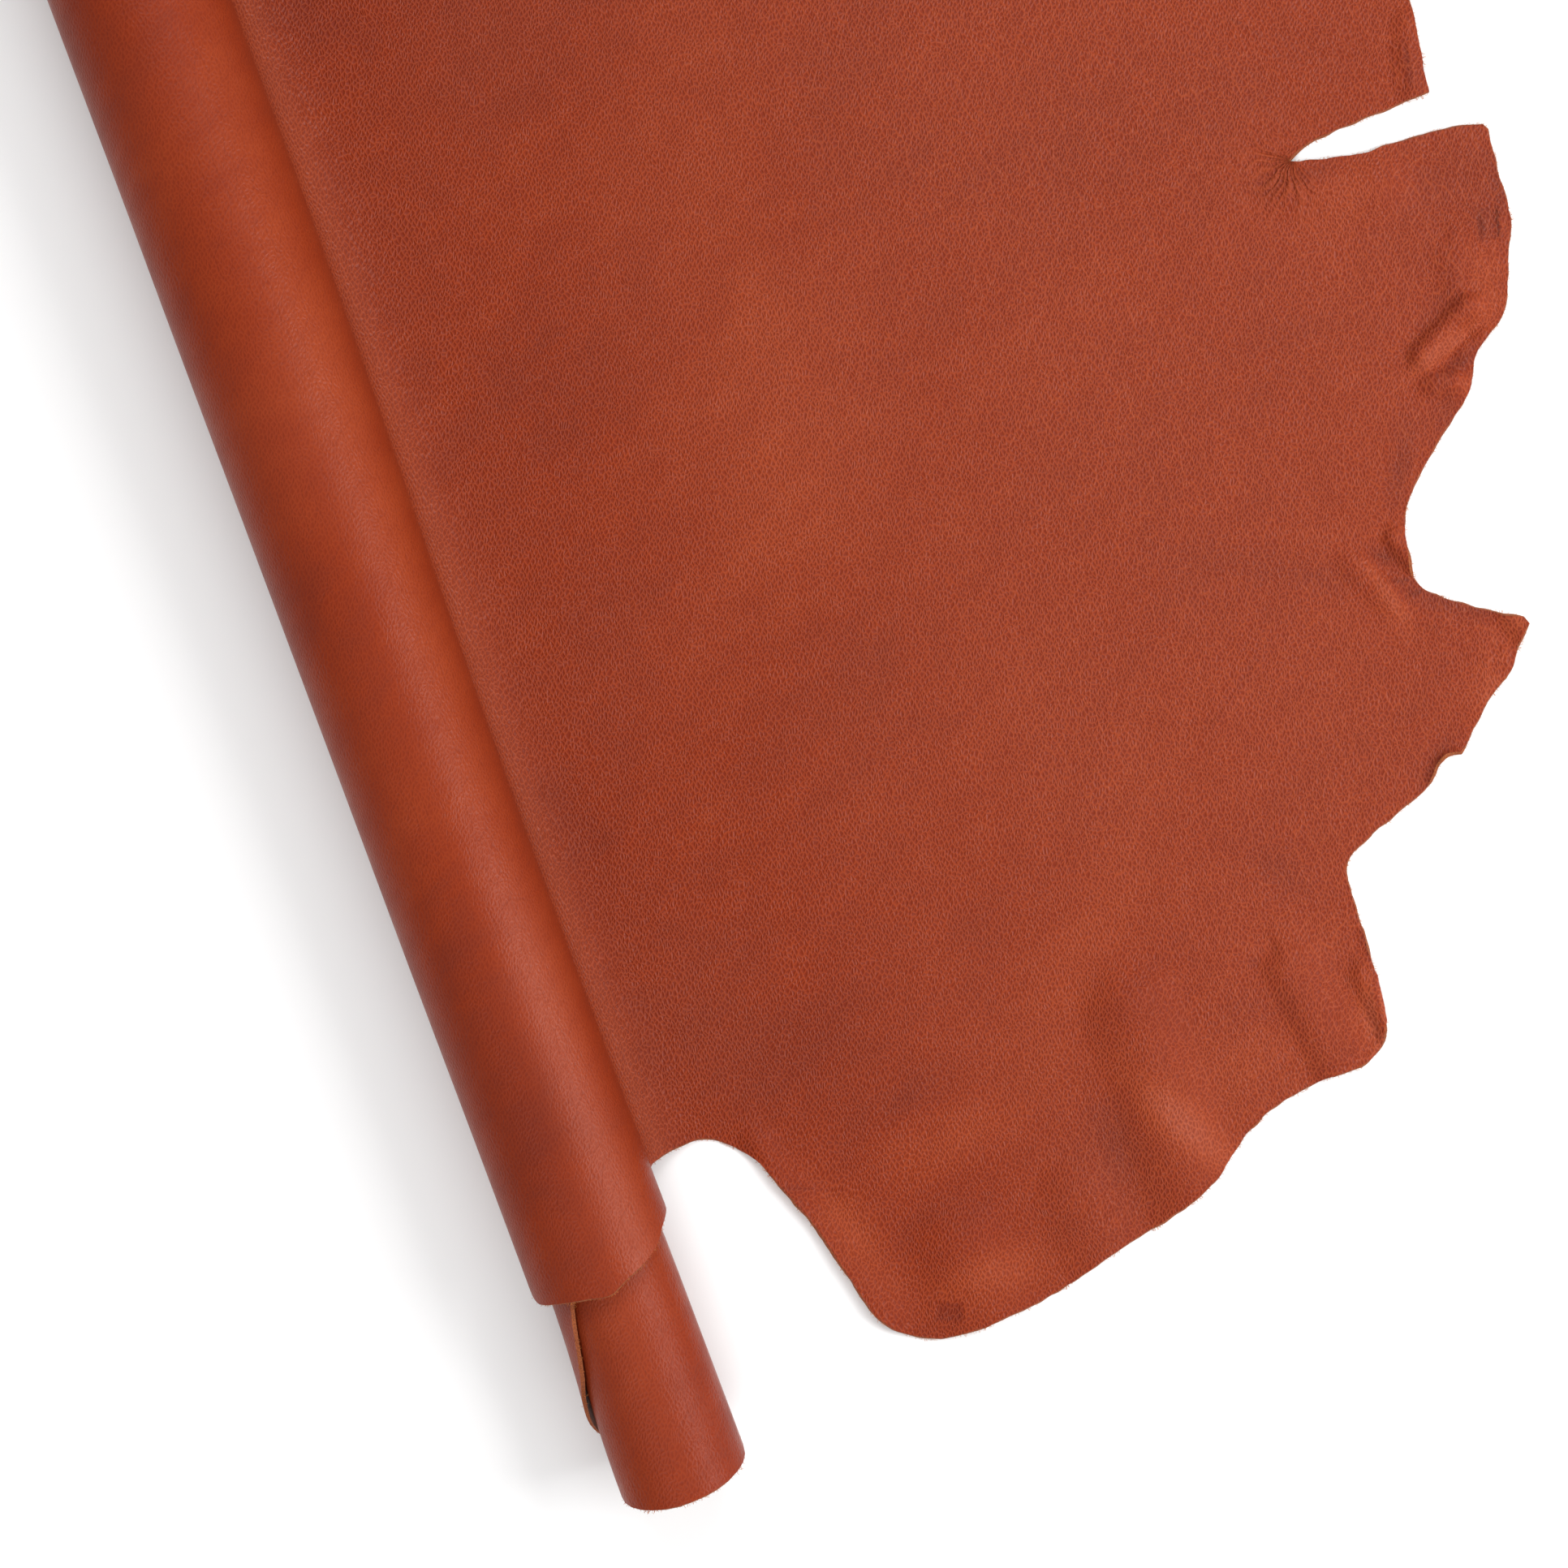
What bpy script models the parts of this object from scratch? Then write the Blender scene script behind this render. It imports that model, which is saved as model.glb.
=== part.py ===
"""A side of cowhide lying grain side up, with its left part rolled up grain side out.

The whole hide is one piece of leather. It lies flat from its ragged butt end to the foot of a bend,
climbs the roll, goes once round it and then winds inwards. The visible turns are true sheet, and
the tight turns inside them are one wound body.

Metres, +Z up. +Y runs along the roll from the belly to the backbone cut and +X from the roll to
the butt end. The origin lies under the middle of the hide's box, on the surface it rests on.
"""

import math

import bpy
import numpy as np
from mathutils import Matrix, Vector
from mathutils.geometry import delaunay_2d_cdt

# Every size below is in millimetres, and MM turns it to metres as the points are made.
MM = 0.001

# The leather and the roll, at the belly end.
LEATHER = 2.2
ROLL_RADIUS = 47.7
ROLL_AXIS_X = -203.9
ROLL_AXIS_Z = 46.7
SECOND_TURN_RADIUS = 42.2
TURN_PITCH = 3.6
STEP_DOWN = (0.80, 1.0)
SHEET_TURNS = 2.0
TUCKED_TURNS = 0.04
CORE_PROUD = 0.15

# The bend between the flat sheet and the roll: the sheet leaves the roll below its widest line.
PEEL_ANGLE = math.radians(18.0)
BEND_POWER = 2.4

# Ends of the roll. The belly end of the inner turns is cut on a slant.
BACKBONE_Y = 770.0
TELESCOPE = 0.8
CORE_TOP_Y = 774.0
SLANT_Y = -369.5
SLANT = 0.388

# The inner turns open a little towards their free end, bend to one side and drop.
LOOSE_FROM_Y = -240.0
LOOSE_LENGTH = 125.0
LOOSE_GAIN = 0.07
LOOSE_SIDE = 3.0
LOOSE_START_SIDE = 2.3
LOOSE_DROP = 2.0

# How the roll thickens along its length: y, factor.
ROLL_GROWTH = (
    (-400, 1.000),
    (60, 1.000),
    (160, 1.020),
    (250, 1.050),
    (400, 1.086),
    (560, 1.096),
    (800, 1.100),
)
GROWTH_FADE = 260.0

# Belly edge through the bend and the first two turns: turn, y. Turn -1 is the foot of the bend,
# 0 is where the sheet meets the roll, and from there it counts whole turns.
BELLY_EDGE = (
    (-1.00, -198),
    (-0.88, -190),
    (-0.79, -187),
    (-0.58, -186),
    (-0.35, -188),
    (-0.14, -193),
    (-0.05, -199),
    (0.00, -206),
    (0.05, -215),
    (0.09, -219),
    (0.13, -225),
    (0.16, -232),
    (0.20, -238),
    (0.27, -246),
    (0.29, -249),
    (0.35, -247),
    (0.46, -243),
    (0.49, -242),
    (0.54, -234),
    (0.60, -222),
    (0.75, -206),
    (1.00, -196),
    (1.20, -206),
    (1.37, -236),
    (1.41, -245),
    (1.43, -257),
    (1.45, -275),
    (1.47, -291),
    (1.50, -303),
    (1.54, -317),
    (1.60, -331),
    (1.68, -342),
    (1.75, -347),
    (1.90, -353),
    (2.00, -362),
    (2.10, -374),
)

# Cut edge of the part that lies flat, from the foot of the bend round to the backbone: x, y, and 1
# where the edge turns sharply.
FLAT_EDGE = (
    # flank and hind-leg lobe
    (-96, -211, 0),
    (-89, -229, 0),
    (-78, -259, 0),
    (-70, -292, 0),
    (-63, -322, 0),
    (-56, -336, 0),
    (-46, -345, 0),
    (-30, -353, 0),
    (-8, -356, 0),
    (20, -355, 0),
    (52, -351, 0),
    (96, -340, 0),
    (138, -331, 0),
    (166, -320, 0),
    (188, -304, 0),
    (205, -295, 0),
    (222, -290, 0),
    (247, -287, 0),
    (272, -287, 0),
    (284, -283, 0),
    (294, -272, 0),
    (298, -256, 0),
    (300, -240, 0),
    (302, -214, 0),
    (304, -180, 0),
    (306, -169, 0),
    # shank with its curled nick
    (311, -164, 0),
    (325, -157, 0),
    (350, -148, 0),
    (372, -140, 0),
    (377, -135, 1),
    (381, -130, 0),
    (388, -127, 0),
    (397, -128, 1),
    (402, -124, 0),
    (425, -103, 0),
    (441, -93, 0),
    (448, -87, 0),
    (453, -79, 1),
    (464, -68, 1),
    (462, -63, 1),
    # bay above the shank
    (447, -54, 0),
    (421, -35, 0),
    (412, -27, 0),
    (408, -17, 0),
    (409, -4, 0),
    (416, 21, 0),
    (425, 33, 0),
    (440, 47, 0),
    (457, 61, 0),
    (476, 75, 0),
    (486, 88, 0),
    (492, 99, 0),
    (503, 107, 0),
    (515, 115, 0),
    (521, 123, 0),
    (529, 142, 0),
    (541, 170, 0),
    (544, 200, 0),
    (547, 226, 1),
    (545, 230, 1),
    # slit beside the tail
    (531, 234, 0),
    (494, 238, 0),
    (469, 239, 0),
    (450, 243, 0),
    (431, 248, 0),
    (425, 250, 1),
    (431, 253, 0),
    (440, 256, 0),
    (462, 258, 0),
    (492, 259, 0),
    (521, 260, 1),
    # butt end, up to the backbone
    (525, 286, 0),
    (530, 318, 0),
    (532, 352, 0),
    (530, 420, 0),
    (525, 520, 0),
    (520, 640, 0),
    (516, 735, 0),
    (510, 762, 0),
)
BACKBONE_CORNER_X = 500.0

# Main folds of the flat part, each a rise along a line: x and y of both ends, half width, height.
FOLDS = (
    (450, 101, 500, 118, 20, 9),
    (466, 86, 474, 92, 15, 5),
    (384, 14, 404, -22, 13, 4),
    (458, -56, 464, -80, 15, 5),
    (374, -140, 398, -126, 10, 5),
    (-102, -206, -62, -326, 24, 6),
    (152, -205, 148, -335, 36, 7),
    (2, -305, 6, -362, 36, 4),
    (82, -300, 86, -350, 32, 4),
    (250, -215, 258, -290, 28, 5),
    (292, -235, 296, -275, 16, 4),
    (428, 236, 470, 220, 28, 4),
    (514, 262, 524, 304, 14, 3),
)

# Steps of the mesh, the gaps kept between its points, and the steps of the curves that are summed up.
EDGE_STEP = 12.0
TURN_STEPS = 36
BEND_COUNT = 12
FLAT_STEP = 42.0
NEAR_STEP = 22.0
NEAR_FOLD = 26.0
FOLD_STEP = 9.5
LATTICE_GAP = 0.55
ROW_GAP = 12.0
CURVE_STEPS = 2000
ROLL_ROWS = (-330, -300, -270, -240, -200, -80, 60, 160, 250, 340, 440, 600)

LEATHER_COLOUR = (0.39, 0.088, 0.037, 1.0)
LEATHER_ROUGHNESS = 0.5

MIDDLE = LEATHER / 2
ROLL_LEFT_X = ROLL_AXIS_X - ROLL_RADIUS


def eased(value):
    """Smooth step from 0 to 1."""
    value = np.clip(value, 0.0, 1.0)
    return value * value * (3 - 2 * value)


def read_table(at, table):
    """Smooth curve through a table's rows (place, value), read at the given places."""
    rows = np.array(table, float)
    places, values = rows[:, 0], rows[:, 1]
    slopes = np.gradient(values, places)
    at = np.clip(at, places[0], places[-1])
    left = np.clip(np.searchsorted(places, at, side="right") - 1, 0, len(places) - 2)
    span = places[left + 1] - places[left]
    part = (at - places[left]) / span
    back = 1 - part
    start = values[left] * (1 + 2 * part) + slopes[left] * span * part
    end = values[left + 1] * (3 - 2 * part) - slopes[left + 1] * span * back
    return start * back**2 + end * part**2


def bend_profile():
    """Fraction along the bend, and the distance it has run sideways and up there, per its length."""
    along = np.linspace(0.0, 1.0, CURVE_STEPS + 1)
    heading = (math.pi / 2 + PEEL_ANGLE) * along**BEND_POWER
    step = 1.0 / CURVE_STEPS
    middle = (heading[1:] + heading[:-1]) / 2
    side = np.concatenate([[0.0], np.cumsum(np.cos(middle)) * step])
    up = np.concatenate([[0.0], np.cumsum(np.sin(middle)) * step])
    return along, side, up


BEND_ALONG, BEND_SIDE, BEND_UP = bend_profile()
OUTER_TURN_MIDDLE = ROLL_RADIUS - MIDDLE
PEEL_X = ROLL_AXIS_X + OUTER_TURN_MIDDLE * math.cos(PEEL_ANGLE)
PEEL_Z = ROLL_AXIS_Z - OUTER_TURN_MIDDLE * math.sin(PEEL_ANGLE)
BEND_LENGTH = (PEEL_Z - MIDDLE) / BEND_UP[-1]
FOOT_X = PEEL_X + BEND_LENGTH * BEND_SIDE[-1]


def outer_radius(turn):
    """Radius of the grain surface, before the roll's growth along its length."""
    first, second = STEP_DOWN
    inner = SECOND_TURN_RADIUS - TURN_PITCH * (turn - second)
    outer = ROLL_RADIUS - (ROLL_RADIUS - SECOND_TURN_RADIUS) * eased((turn - first) / (second - first))
    return np.where(turn < second, outer, inner)


def section(turn, y, lift=0.0):
    """x and z of the sheet's middle surface in the bend or roll, with lift measured outwards."""
    turn = np.asarray(turn, float)
    y = np.asarray(y, float)
    angle = 2 * math.pi * turn - PEEL_ANGLE
    inner = eased((turn - STEP_DOWN[0]) / (STEP_DOWN[1] - STEP_DOWN[0]))
    loose = eased((LOOSE_FROM_Y - y) / LOOSE_LENGTH) * inner
    near_end = eased((LOOSE_FROM_Y + LOOSE_LENGTH / 2 - y) / (LOOSE_LENGTH / 2)) * inner
    radius = (outer_radius(turn) - MIDDLE + lift) * (1 + LOOSE_GAIN * loose)
    x = ROLL_AXIS_X + radius * np.cos(angle) + LOOSE_START_SIDE * near_end - LOOSE_SIDE * loose
    z = ROLL_AXIS_Z + radius * np.sin(angle) - LOOSE_DROP * loose
    in_bend = turn < 0
    part = np.clip(1 + turn, 0.0, 1.0)
    x = np.where(in_bend, FOOT_X - BEND_LENGTH * np.interp(part, BEND_ALONG, BEND_SIDE), x)
    z = np.where(in_bend, MIDDLE + BEND_LENGTH * np.interp(part, BEND_ALONG, BEND_UP), z)
    z = np.maximum(z, MIDDLE)
    growth = read_table(y, ROLL_GROWTH)
    return ROLL_LEFT_X + growth * (x - ROLL_LEFT_X), MIDDLE + growth * (z - MIDDLE)


def turn_stations():
    """Turns at which the sheet is divided, from the foot of the bend to its tucked inner end."""
    bend = np.linspace(-1.0, 0.0, BEND_COUNT + 1)
    rolled = np.arange(1, round(SHEET_TURNS * TURN_STEPS) + 1) / TURN_STEPS
    return np.concatenate([bend, rolled, [SHEET_TURNS + TUCKED_TURNS]])


def distances(turns):
    """Distance along the sheet from the foot of the bend to each turn, along the belly end."""
    fine = np.linspace(0.0, SHEET_TURNS + TUCKED_TURNS, CURVE_STEPS)
    lengths = (outer_radius(fine) - MIDDLE) * 2 * math.pi
    run = np.concatenate([[0.0], np.cumsum((lengths[1:] + lengths[:-1]) / 2 * np.diff(fine))])
    rolled = BEND_LENGTH + np.interp(turns, fine, run)
    return np.where(turns < 0, BEND_LENGTH * (1 + turns), rolled)


def bend_through(before, here, after):
    """Direction of a centripetal Catmull-Rom curve at a point, per unit of its own parameter."""
    first = np.linalg.norm(here - before) ** 0.5
    second = np.linalg.norm(after - here) ** 0.5
    return (here - before) / first - (after - before) / (first + second) + (after - here) / second


def spline(points, corners, step):
    """Points about a step apart on a smooth curve through the given ones, broken at the corners."""
    last = len(points) - 1
    made = [points[0]]
    for i in range(last):
        start, end = points[i], points[i + 1]
        span = np.linalg.norm(end - start) ** 0.5
        straight = (end - start) / span
        at_start = straight if i == 0 or corners[i] else bend_through(points[i - 1], start, end)
        at_end = straight if i + 1 == last or corners[i + 1] else bend_through(start, end, points[i + 2])
        count = max(1, round(np.linalg.norm(end - start) / step))
        for part in np.arange(1, count + 1) / count:
            back = 1 - part
            from_start = start * (1 + 2 * part) + at_start * span * part
            from_end = end * (3 - 2 * part) - at_end * span * back
            made.append(from_start * back**2 + from_end * part**2)
    return np.array(made)


def to_segment(points, start, end):
    """Distance of each point to a line between two ends."""
    run = end - start
    part = np.clip((points - start) @ run / (run @ run), 0.0, 1.0)
    return np.linalg.norm(points - start - part[:, None] * run, axis=1)


def fold_height(points):
    """Rise of the flat part above the surface it lies on, at points x, y."""
    height = np.zeros(len(points))
    for x0, y0, x1, y1, half_width, rise in FOLDS:
        away = to_segment(points, np.array([x0, y0]), np.array([x1, y1])) / half_width
        height += rise * np.clip(1 - away**2, 0.0, None) ** 2
    return height


def near_fold(points, reach):
    """Whether each point is on a fold or no further than a reach from one."""
    near = np.zeros(len(points), bool)
    for x0, y0, x1, y1, half_width, _ in FOLDS:
        near |= to_segment(points, np.array([x0, y0]), np.array([x1, y1])) < half_width + reach
    return near


def inside(points, loop):
    """Whether each point lies inside a closed loop, by counting crossings."""
    start = loop
    end = np.roll(loop, -1, axis=0)
    x, y = points[:, :1], points[:, 1:]
    spans = (start[:, 1] > y) != (end[:, 1] > y)
    rise = np.where(end[:, 1] == start[:, 1], 1.0, end[:, 1] - start[:, 1])
    crossing = start[:, 0] + (y - start[:, 1]) * (end[:, 0] - start[:, 0]) / rise
    return (spans & (x < crossing)).sum(axis=1) % 2 == 1


def clear_of(points, others, gap):
    """The points that keep a gap to all of the others."""
    apart = np.linalg.norm(points[:, None, :] - others[None, :, :], axis=2).min(axis=1)
    return points[apart > gap]


def lattice(low, high, step):
    """Points of a triangular lattice in a rectangle."""
    rows = np.arange(low[1], high[1], step * math.sqrt(3) / 2)
    made = [
        (x + (step / 2 if i % 2 else 0.0), y)
        for i, y in enumerate(rows)
        for x in np.arange(low[0], high[0], step)
    ]
    return np.array(made)


def backbone_y(turns):
    """The backbone cut: straight on the flat part, and each turn a little further out on the roll."""
    return BACKBONE_Y + TELESCOPE * np.clip(turns, 0.0, None)


def pattern():
    """The hide as cut, laid out flat: its points as (distance from the bend's foot, y), its turns at
    the stations across the bend and roll, and the lines that the mesh follows."""
    turns = turn_stations()
    reach = -distances(turns)
    belly = np.column_stack([reach, read_table(turns, BELLY_EDGE)])
    backbone = np.column_stack([reach, backbone_y(turns)])

    rows = np.array(FLAT_EDGE, float)
    foot = np.array([[FOOT_X, BELLY_EDGE[0][1]]])
    edge = spline(np.vstack([foot, rows[:, :2]]), np.concatenate([[0], rows[:, 2]]), EDGE_STEP)
    top = np.arange(BACKBONE_CORNER_X, FOOT_X + FLAT_STEP / 2, -FLAT_STEP)
    top = np.column_stack([top, np.full(len(top), BACKBONE_Y)])
    flat_edge = np.vstack([edge[1:], top]) - (FOOT_X, 0.0)

    loop = np.vstack([belly[::-1], flat_edge, backbone])
    points = [loop]
    lines = [(i, (i + 1) % len(loop)) for i in range(len(loop))]
    count = len(loop)
    for k in range(len(turns)):
        low, high = belly[k, 1], backbone[k, 1]
        rows = [y for y in ROLL_ROWS if low + ROW_GAP < y < high - ROW_GAP]
        points.append(np.column_stack([np.full(len(rows), reach[k]), rows]))
        chain = [len(turns) - 1 - k, *range(count, count + len(rows)), len(loop) - len(turns) + k]
        lines += list(zip(chain, chain[1:]))
        count += len(rows)

    flat_loop = np.vstack([[(0.0, BELLY_EDGE[0][1])], flat_edge, [(0.0, BACKBONE_Y)]])
    low, high = flat_loop.min(axis=0), flat_loop.max(axis=0)
    for step, reach_of_fold in ((FOLD_STEP, 0.0), (NEAR_STEP, NEAR_FOLD), (FLAT_STEP, np.inf)):
        group = lattice(low, high, step)
        group = group[near_fold(group + (FOOT_X, 0.0), reach_of_fold)]
        group = group[inside(group, flat_loop)]
        points.append(clear_of(group, np.vstack(points), step * LATTICE_GAP))
    return np.vstack(points), lines, loop, turns, reach


def place(points, turns, reach):
    """Where the pattern's points lie on the finished hide: the middle surface of the leather."""
    along, y = points[:, 0], points[:, 1]
    turn = np.interp(-along, -reach, turns)
    rolled_x, rolled_z = section(turn, y)
    flat = np.column_stack([FOOT_X + along, y])
    shift = (read_table(y, ROLL_GROWTH) - 1) * (FOOT_X - ROLL_LEFT_X)
    flat_x = flat[:, 0] + shift * (1 - eased(along / GROWTH_FADE))
    lies_flat = along >= 0
    x = np.where(lies_flat, flat_x, rolled_x)
    z = np.where(lies_flat, MIDDLE + fold_height(flat), rolled_z)
    return np.column_stack([x, y, z])


def mesh_object(name, points, faces, collection):
    mesh = bpy.data.meshes.new(name)
    mesh.from_pydata([Vector(p) * MM for p in points], [], faces)
    obj = bpy.data.objects.new(name, mesh)
    collection.objects.link(obj)
    mesh.shade_smooth()
    return obj


def make_sheet(collection):
    """The sheet: its cut shape triangulated, laid and rolled, then given the leather's thickness."""
    points, lines, loop, turns, reach = pattern()
    flat = [Vector(p) for p in points]
    made, _, faces, *_ = delaunay_2d_cdt(flat, lines, [], 0, 1e-4)
    made = np.array([tuple(v) for v in made])
    faces = np.array(faces)
    faces = faces[inside(made[faces].mean(axis=1), loop)]
    sheet = mesh_object("hide", place(made, turns, reach), faces.tolist(), collection)
    thickness = sheet.modifiers.new("Leather thickness", "SOLIDIFY")
    thickness.thickness = LEATHER * MM
    thickness.offset = 0.0
    return sheet


def make_core(collection):
    """The tight inner turns as one wound body: a loft through rings that follow the spiral."""
    turns = SHEET_TURNS + np.arange(TURN_STEPS + 1) / TURN_STEPS
    rows = [SLANT_Y, *(y for y in ROLL_ROWS if y > SLANT_Y + 2 * ROW_GAP), CORE_TOP_Y]
    rings = []
    for y in rows:
        x, z = section(turns, np.full(len(turns), y), MIDDLE + CORE_PROUD)
        cut = SLANT_Y - SLANT * (z - ROLL_AXIS_Z) if y == SLANT_Y else np.full(len(turns), y)
        rings.append(np.column_stack([x, cut, z]))
    size = len(turns)
    faces = [list(range(size)), list(range(len(rings) * size - 1, (len(rings) - 1) * size - 1, -1))]
    for r in range(len(rings) - 1):
        for k in range(size):
            here, next_ = r * size + k, r * size + (k + 1) % size
            faces.append((next_, here, here + size, next_ + size))
    return mesh_object("wound core", np.vstack(rings), faces, collection)


def leather_material():
    material = bpy.data.materials.new("Full-grain leather")
    material.use_nodes = True
    shader = material.node_tree.nodes["Principled BSDF"]
    shader.inputs["Base Color"].default_value = LEATHER_COLOUR
    shader.inputs["Roughness"].default_value = LEATHER_ROUGHNESS
    shader.inputs["Metallic"].default_value = 0.0
    return material


def clear_scene():
    for obj in list(bpy.data.objects):
        bpy.data.objects.remove(obj, do_unlink=True)


def new_collection(name):
    collection = bpy.data.collections.new(name)
    bpy.context.scene.collection.children.link(collection)
    return collection


def evaluated_box(obj):
    """Lowest and highest corner of an object with its modifiers, in metres."""
    bpy.context.view_layer.update()
    shape = obj.evaluated_get(bpy.context.evaluated_depsgraph_get())
    mesh = shape.to_mesh()
    co = np.array([v.co for v in mesh.vertices])
    shape.to_mesh_clear()
    return co.min(axis=0), co.max(axis=0)


def main():
    clear_scene()
    parts = new_collection("Leather hide")
    helpers = new_collection("Helpers")
    sheet = make_sheet(parts)
    core = make_core(helpers)
    core.hide_render = True
    core.display_type = "WIRE"
    joined = sheet.modifiers.new("Wound core", "BOOLEAN")
    joined.operation = "UNION"
    joined.object = core
    joined.solver = "EXACT"
    sheet.data.materials.append(leather_material())
    low, high = evaluated_box(sheet)
    middle = (low + high) / 2
    for obj in (sheet, core):
        obj.data.transform(Matrix.Translation((-middle[0], -middle[1], 0.0)))
    bpy.context.view_layer.update()


main()
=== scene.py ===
"""A side of milled cowhide lying grain side up, partly rolled up, on a pale studio floor.

The hide is cut from one sheet. Its pattern, as it would lie unrolled, is divided finely, bent along
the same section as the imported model, and given the leather's thickness.
"""

import math
from functools import partial

import bpy
import numpy as np
from bpy.props import FloatProperty, FloatVectorProperty, IntProperty, PointerProperty
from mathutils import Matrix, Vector
from mathutils.geometry import delaunay_2d_cdt
from mathutils.kdtree import KDTree


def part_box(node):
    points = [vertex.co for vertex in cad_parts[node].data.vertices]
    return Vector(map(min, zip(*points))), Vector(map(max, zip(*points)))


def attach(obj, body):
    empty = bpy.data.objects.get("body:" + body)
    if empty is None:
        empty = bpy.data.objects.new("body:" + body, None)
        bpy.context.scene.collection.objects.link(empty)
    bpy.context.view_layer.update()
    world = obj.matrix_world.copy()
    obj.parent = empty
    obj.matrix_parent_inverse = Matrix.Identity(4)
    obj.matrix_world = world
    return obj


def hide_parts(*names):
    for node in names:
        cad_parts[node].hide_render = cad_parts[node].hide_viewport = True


bl_info = {
    "name": "Leather Hide",
    "version": (1, 0, 0),
    "blender": (4, 5, 0),
    "location": "3D View > Sidebar > Leather",
    "description": "Builds a partly rolled side of cowhide with its grain, raw edge and studio",
    "category": "Add Mesh",
}

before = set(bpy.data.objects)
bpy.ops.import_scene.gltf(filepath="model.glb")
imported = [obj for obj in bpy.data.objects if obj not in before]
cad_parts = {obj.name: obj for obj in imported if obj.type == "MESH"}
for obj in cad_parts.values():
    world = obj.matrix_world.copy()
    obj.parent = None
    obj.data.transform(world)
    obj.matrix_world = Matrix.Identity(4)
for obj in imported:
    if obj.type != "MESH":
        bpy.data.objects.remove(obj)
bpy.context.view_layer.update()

HIDE = "hide"
PATTERN_MAP = "Pattern"

# Lengths are in millimetres on a bench whose origin the camera looks at, and MM turns them to metres.
MM = 0.001
LEATHER = 2.2
ROLL_RADIUS = 47.7
ROLL_AXIS_X = -203.9
ROLL_AXIS_Z = 46.7
SECOND_TURN_RADIUS = 42.2
TURN_PITCH = 3.6
STEP_DOWN = (0.80, 1.0)
TURNS = 9.05
PEEL_ANGLE = math.radians(18.0)
BEND_POWER = 2.4
CURVE_STEPS = 2000

BACKBONE_Y = 770.0
TELESCOPE = 0.8
TELESCOPE_TURNS = 4.0
# The plane of the roll's belly end, and how uneven its turns are.
SLANT_Y = -369.5
SLANT = 0.388
END_RAGGED = 1.6
END_RAGGED_LENGTH = 120.0
END_TURN_LENGTH = 140.0
# The inner roll's free end: y over which it comes loose, how much wider it gets, and how far it
# moves sideways and down.
LOOSE_Y = (-240.0, -365.0)
LOOSE_START_Y = (-177.5, -240.0)
LOOSE_GAIN = 0.07
LOOSE_SIDE = 3.0
LOOSE_START_SIDE = 2.3
LOOSE_DROP = 2.0

# How the roll thickens along its length: y, factor.
ROLL_GROWTH = (
    (-400, 1.000), (60, 1.000), (160, 1.020), (250, 1.050), (400, 1.086), (560, 1.096),
    (800, 1.100),
)
# How far from the bend's foot the flat part takes up the roll's growth, and how far the folds take
# to come in.
GROWTH_FADE = 260.0
FOLDS_START = 20.0

# Belly edge through the bend and the outer turns: turn, y. Turn -1 is the foot of the bend, 0 is
# where the sheet meets the roll, and from there it counts whole turns.
BELLY_EDGE = (
    (-1.00, -198), (-0.88, -190), (-0.79, -187), (-0.58, -186), (-0.35, -188), (-0.14, -193),
    (-0.05, -199), (0.00, -206), (0.05, -215), (0.09, -219), (0.13, -225), (0.16, -232),
    (0.20, -238), (0.27, -246), (0.29, -249), (0.35, -247), (0.46, -243), (0.49, -242),
    (0.54, -234), (0.60, -222), (0.75, -206), (1.00, -196), (1.20, -206), (1.37, -236),
    (1.41, -245), (1.43, -257), (1.45, -275), (1.47, -291), (1.50, -303), (1.54, -317),
    (1.60, -331), (1.68, -342), (1.75, -347), (1.90, -353), (2.00, -362), (2.10, -374),
)
SLANTED_FROM = (2.0, 2.12)

# Cut edge of the part that lies flat, from the foot of the bend round to the backbone: x, y, and a 1
# where the edge turns sharply.
FLAT_EDGE = (
    # flank and hind-leg lobe
    (-96, -211), (-89, -229), (-78, -259), (-70, -292), (-63, -322), (-56, -336), (-46, -345),
    (-30, -353), (-8, -356), (20, -355), (52, -351), (96, -340), (138, -331), (166, -320),
    (188, -304), (205, -295), (222, -290), (247, -287), (272, -287), (284, -283), (294, -272),
    (298, -256), (300, -240), (302, -214), (304, -180), (306, -169),
    # shank with its curled nick
    (311, -164), (325, -157), (350, -148), (372, -140), (377, -135, 1), (381, -130), (388, -127),
    (397, -128, 1), (402, -124), (425, -103), (441, -93), (448, -87), (453, -79, 1), (464, -68, 1),
    (462, -63, 1),
    # bay above the shank
    (447, -54), (421, -35), (412, -27), (408, -17), (409, -4), (416, 21), (425, 33), (440, 47),
    (457, 61), (476, 75), (486, 88), (492, 99), (503, 107), (515, 115), (521, 123), (529, 142),
    (541, 170), (544, 200), (547, 226, 1), (545, 230, 1),
    # slit beside the tail
    (531, 234), (494, 238), (469, 239), (450, 243), (431, 248), (425, 250, 1), (431, 253),
    (440, 256), (462, 258), (492, 259), (521, 260, 1),
    # butt end, up to the backbone
    (525, 286), (530, 318), (532, 352), (530, 420), (525, 520), (520, 640), (516, 735), (510, 762),
)
BACKBONE_CORNER_X = 500.0
TAIL_TIP_X = 547.0
CORE_TOP_Y = 774.0

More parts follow.
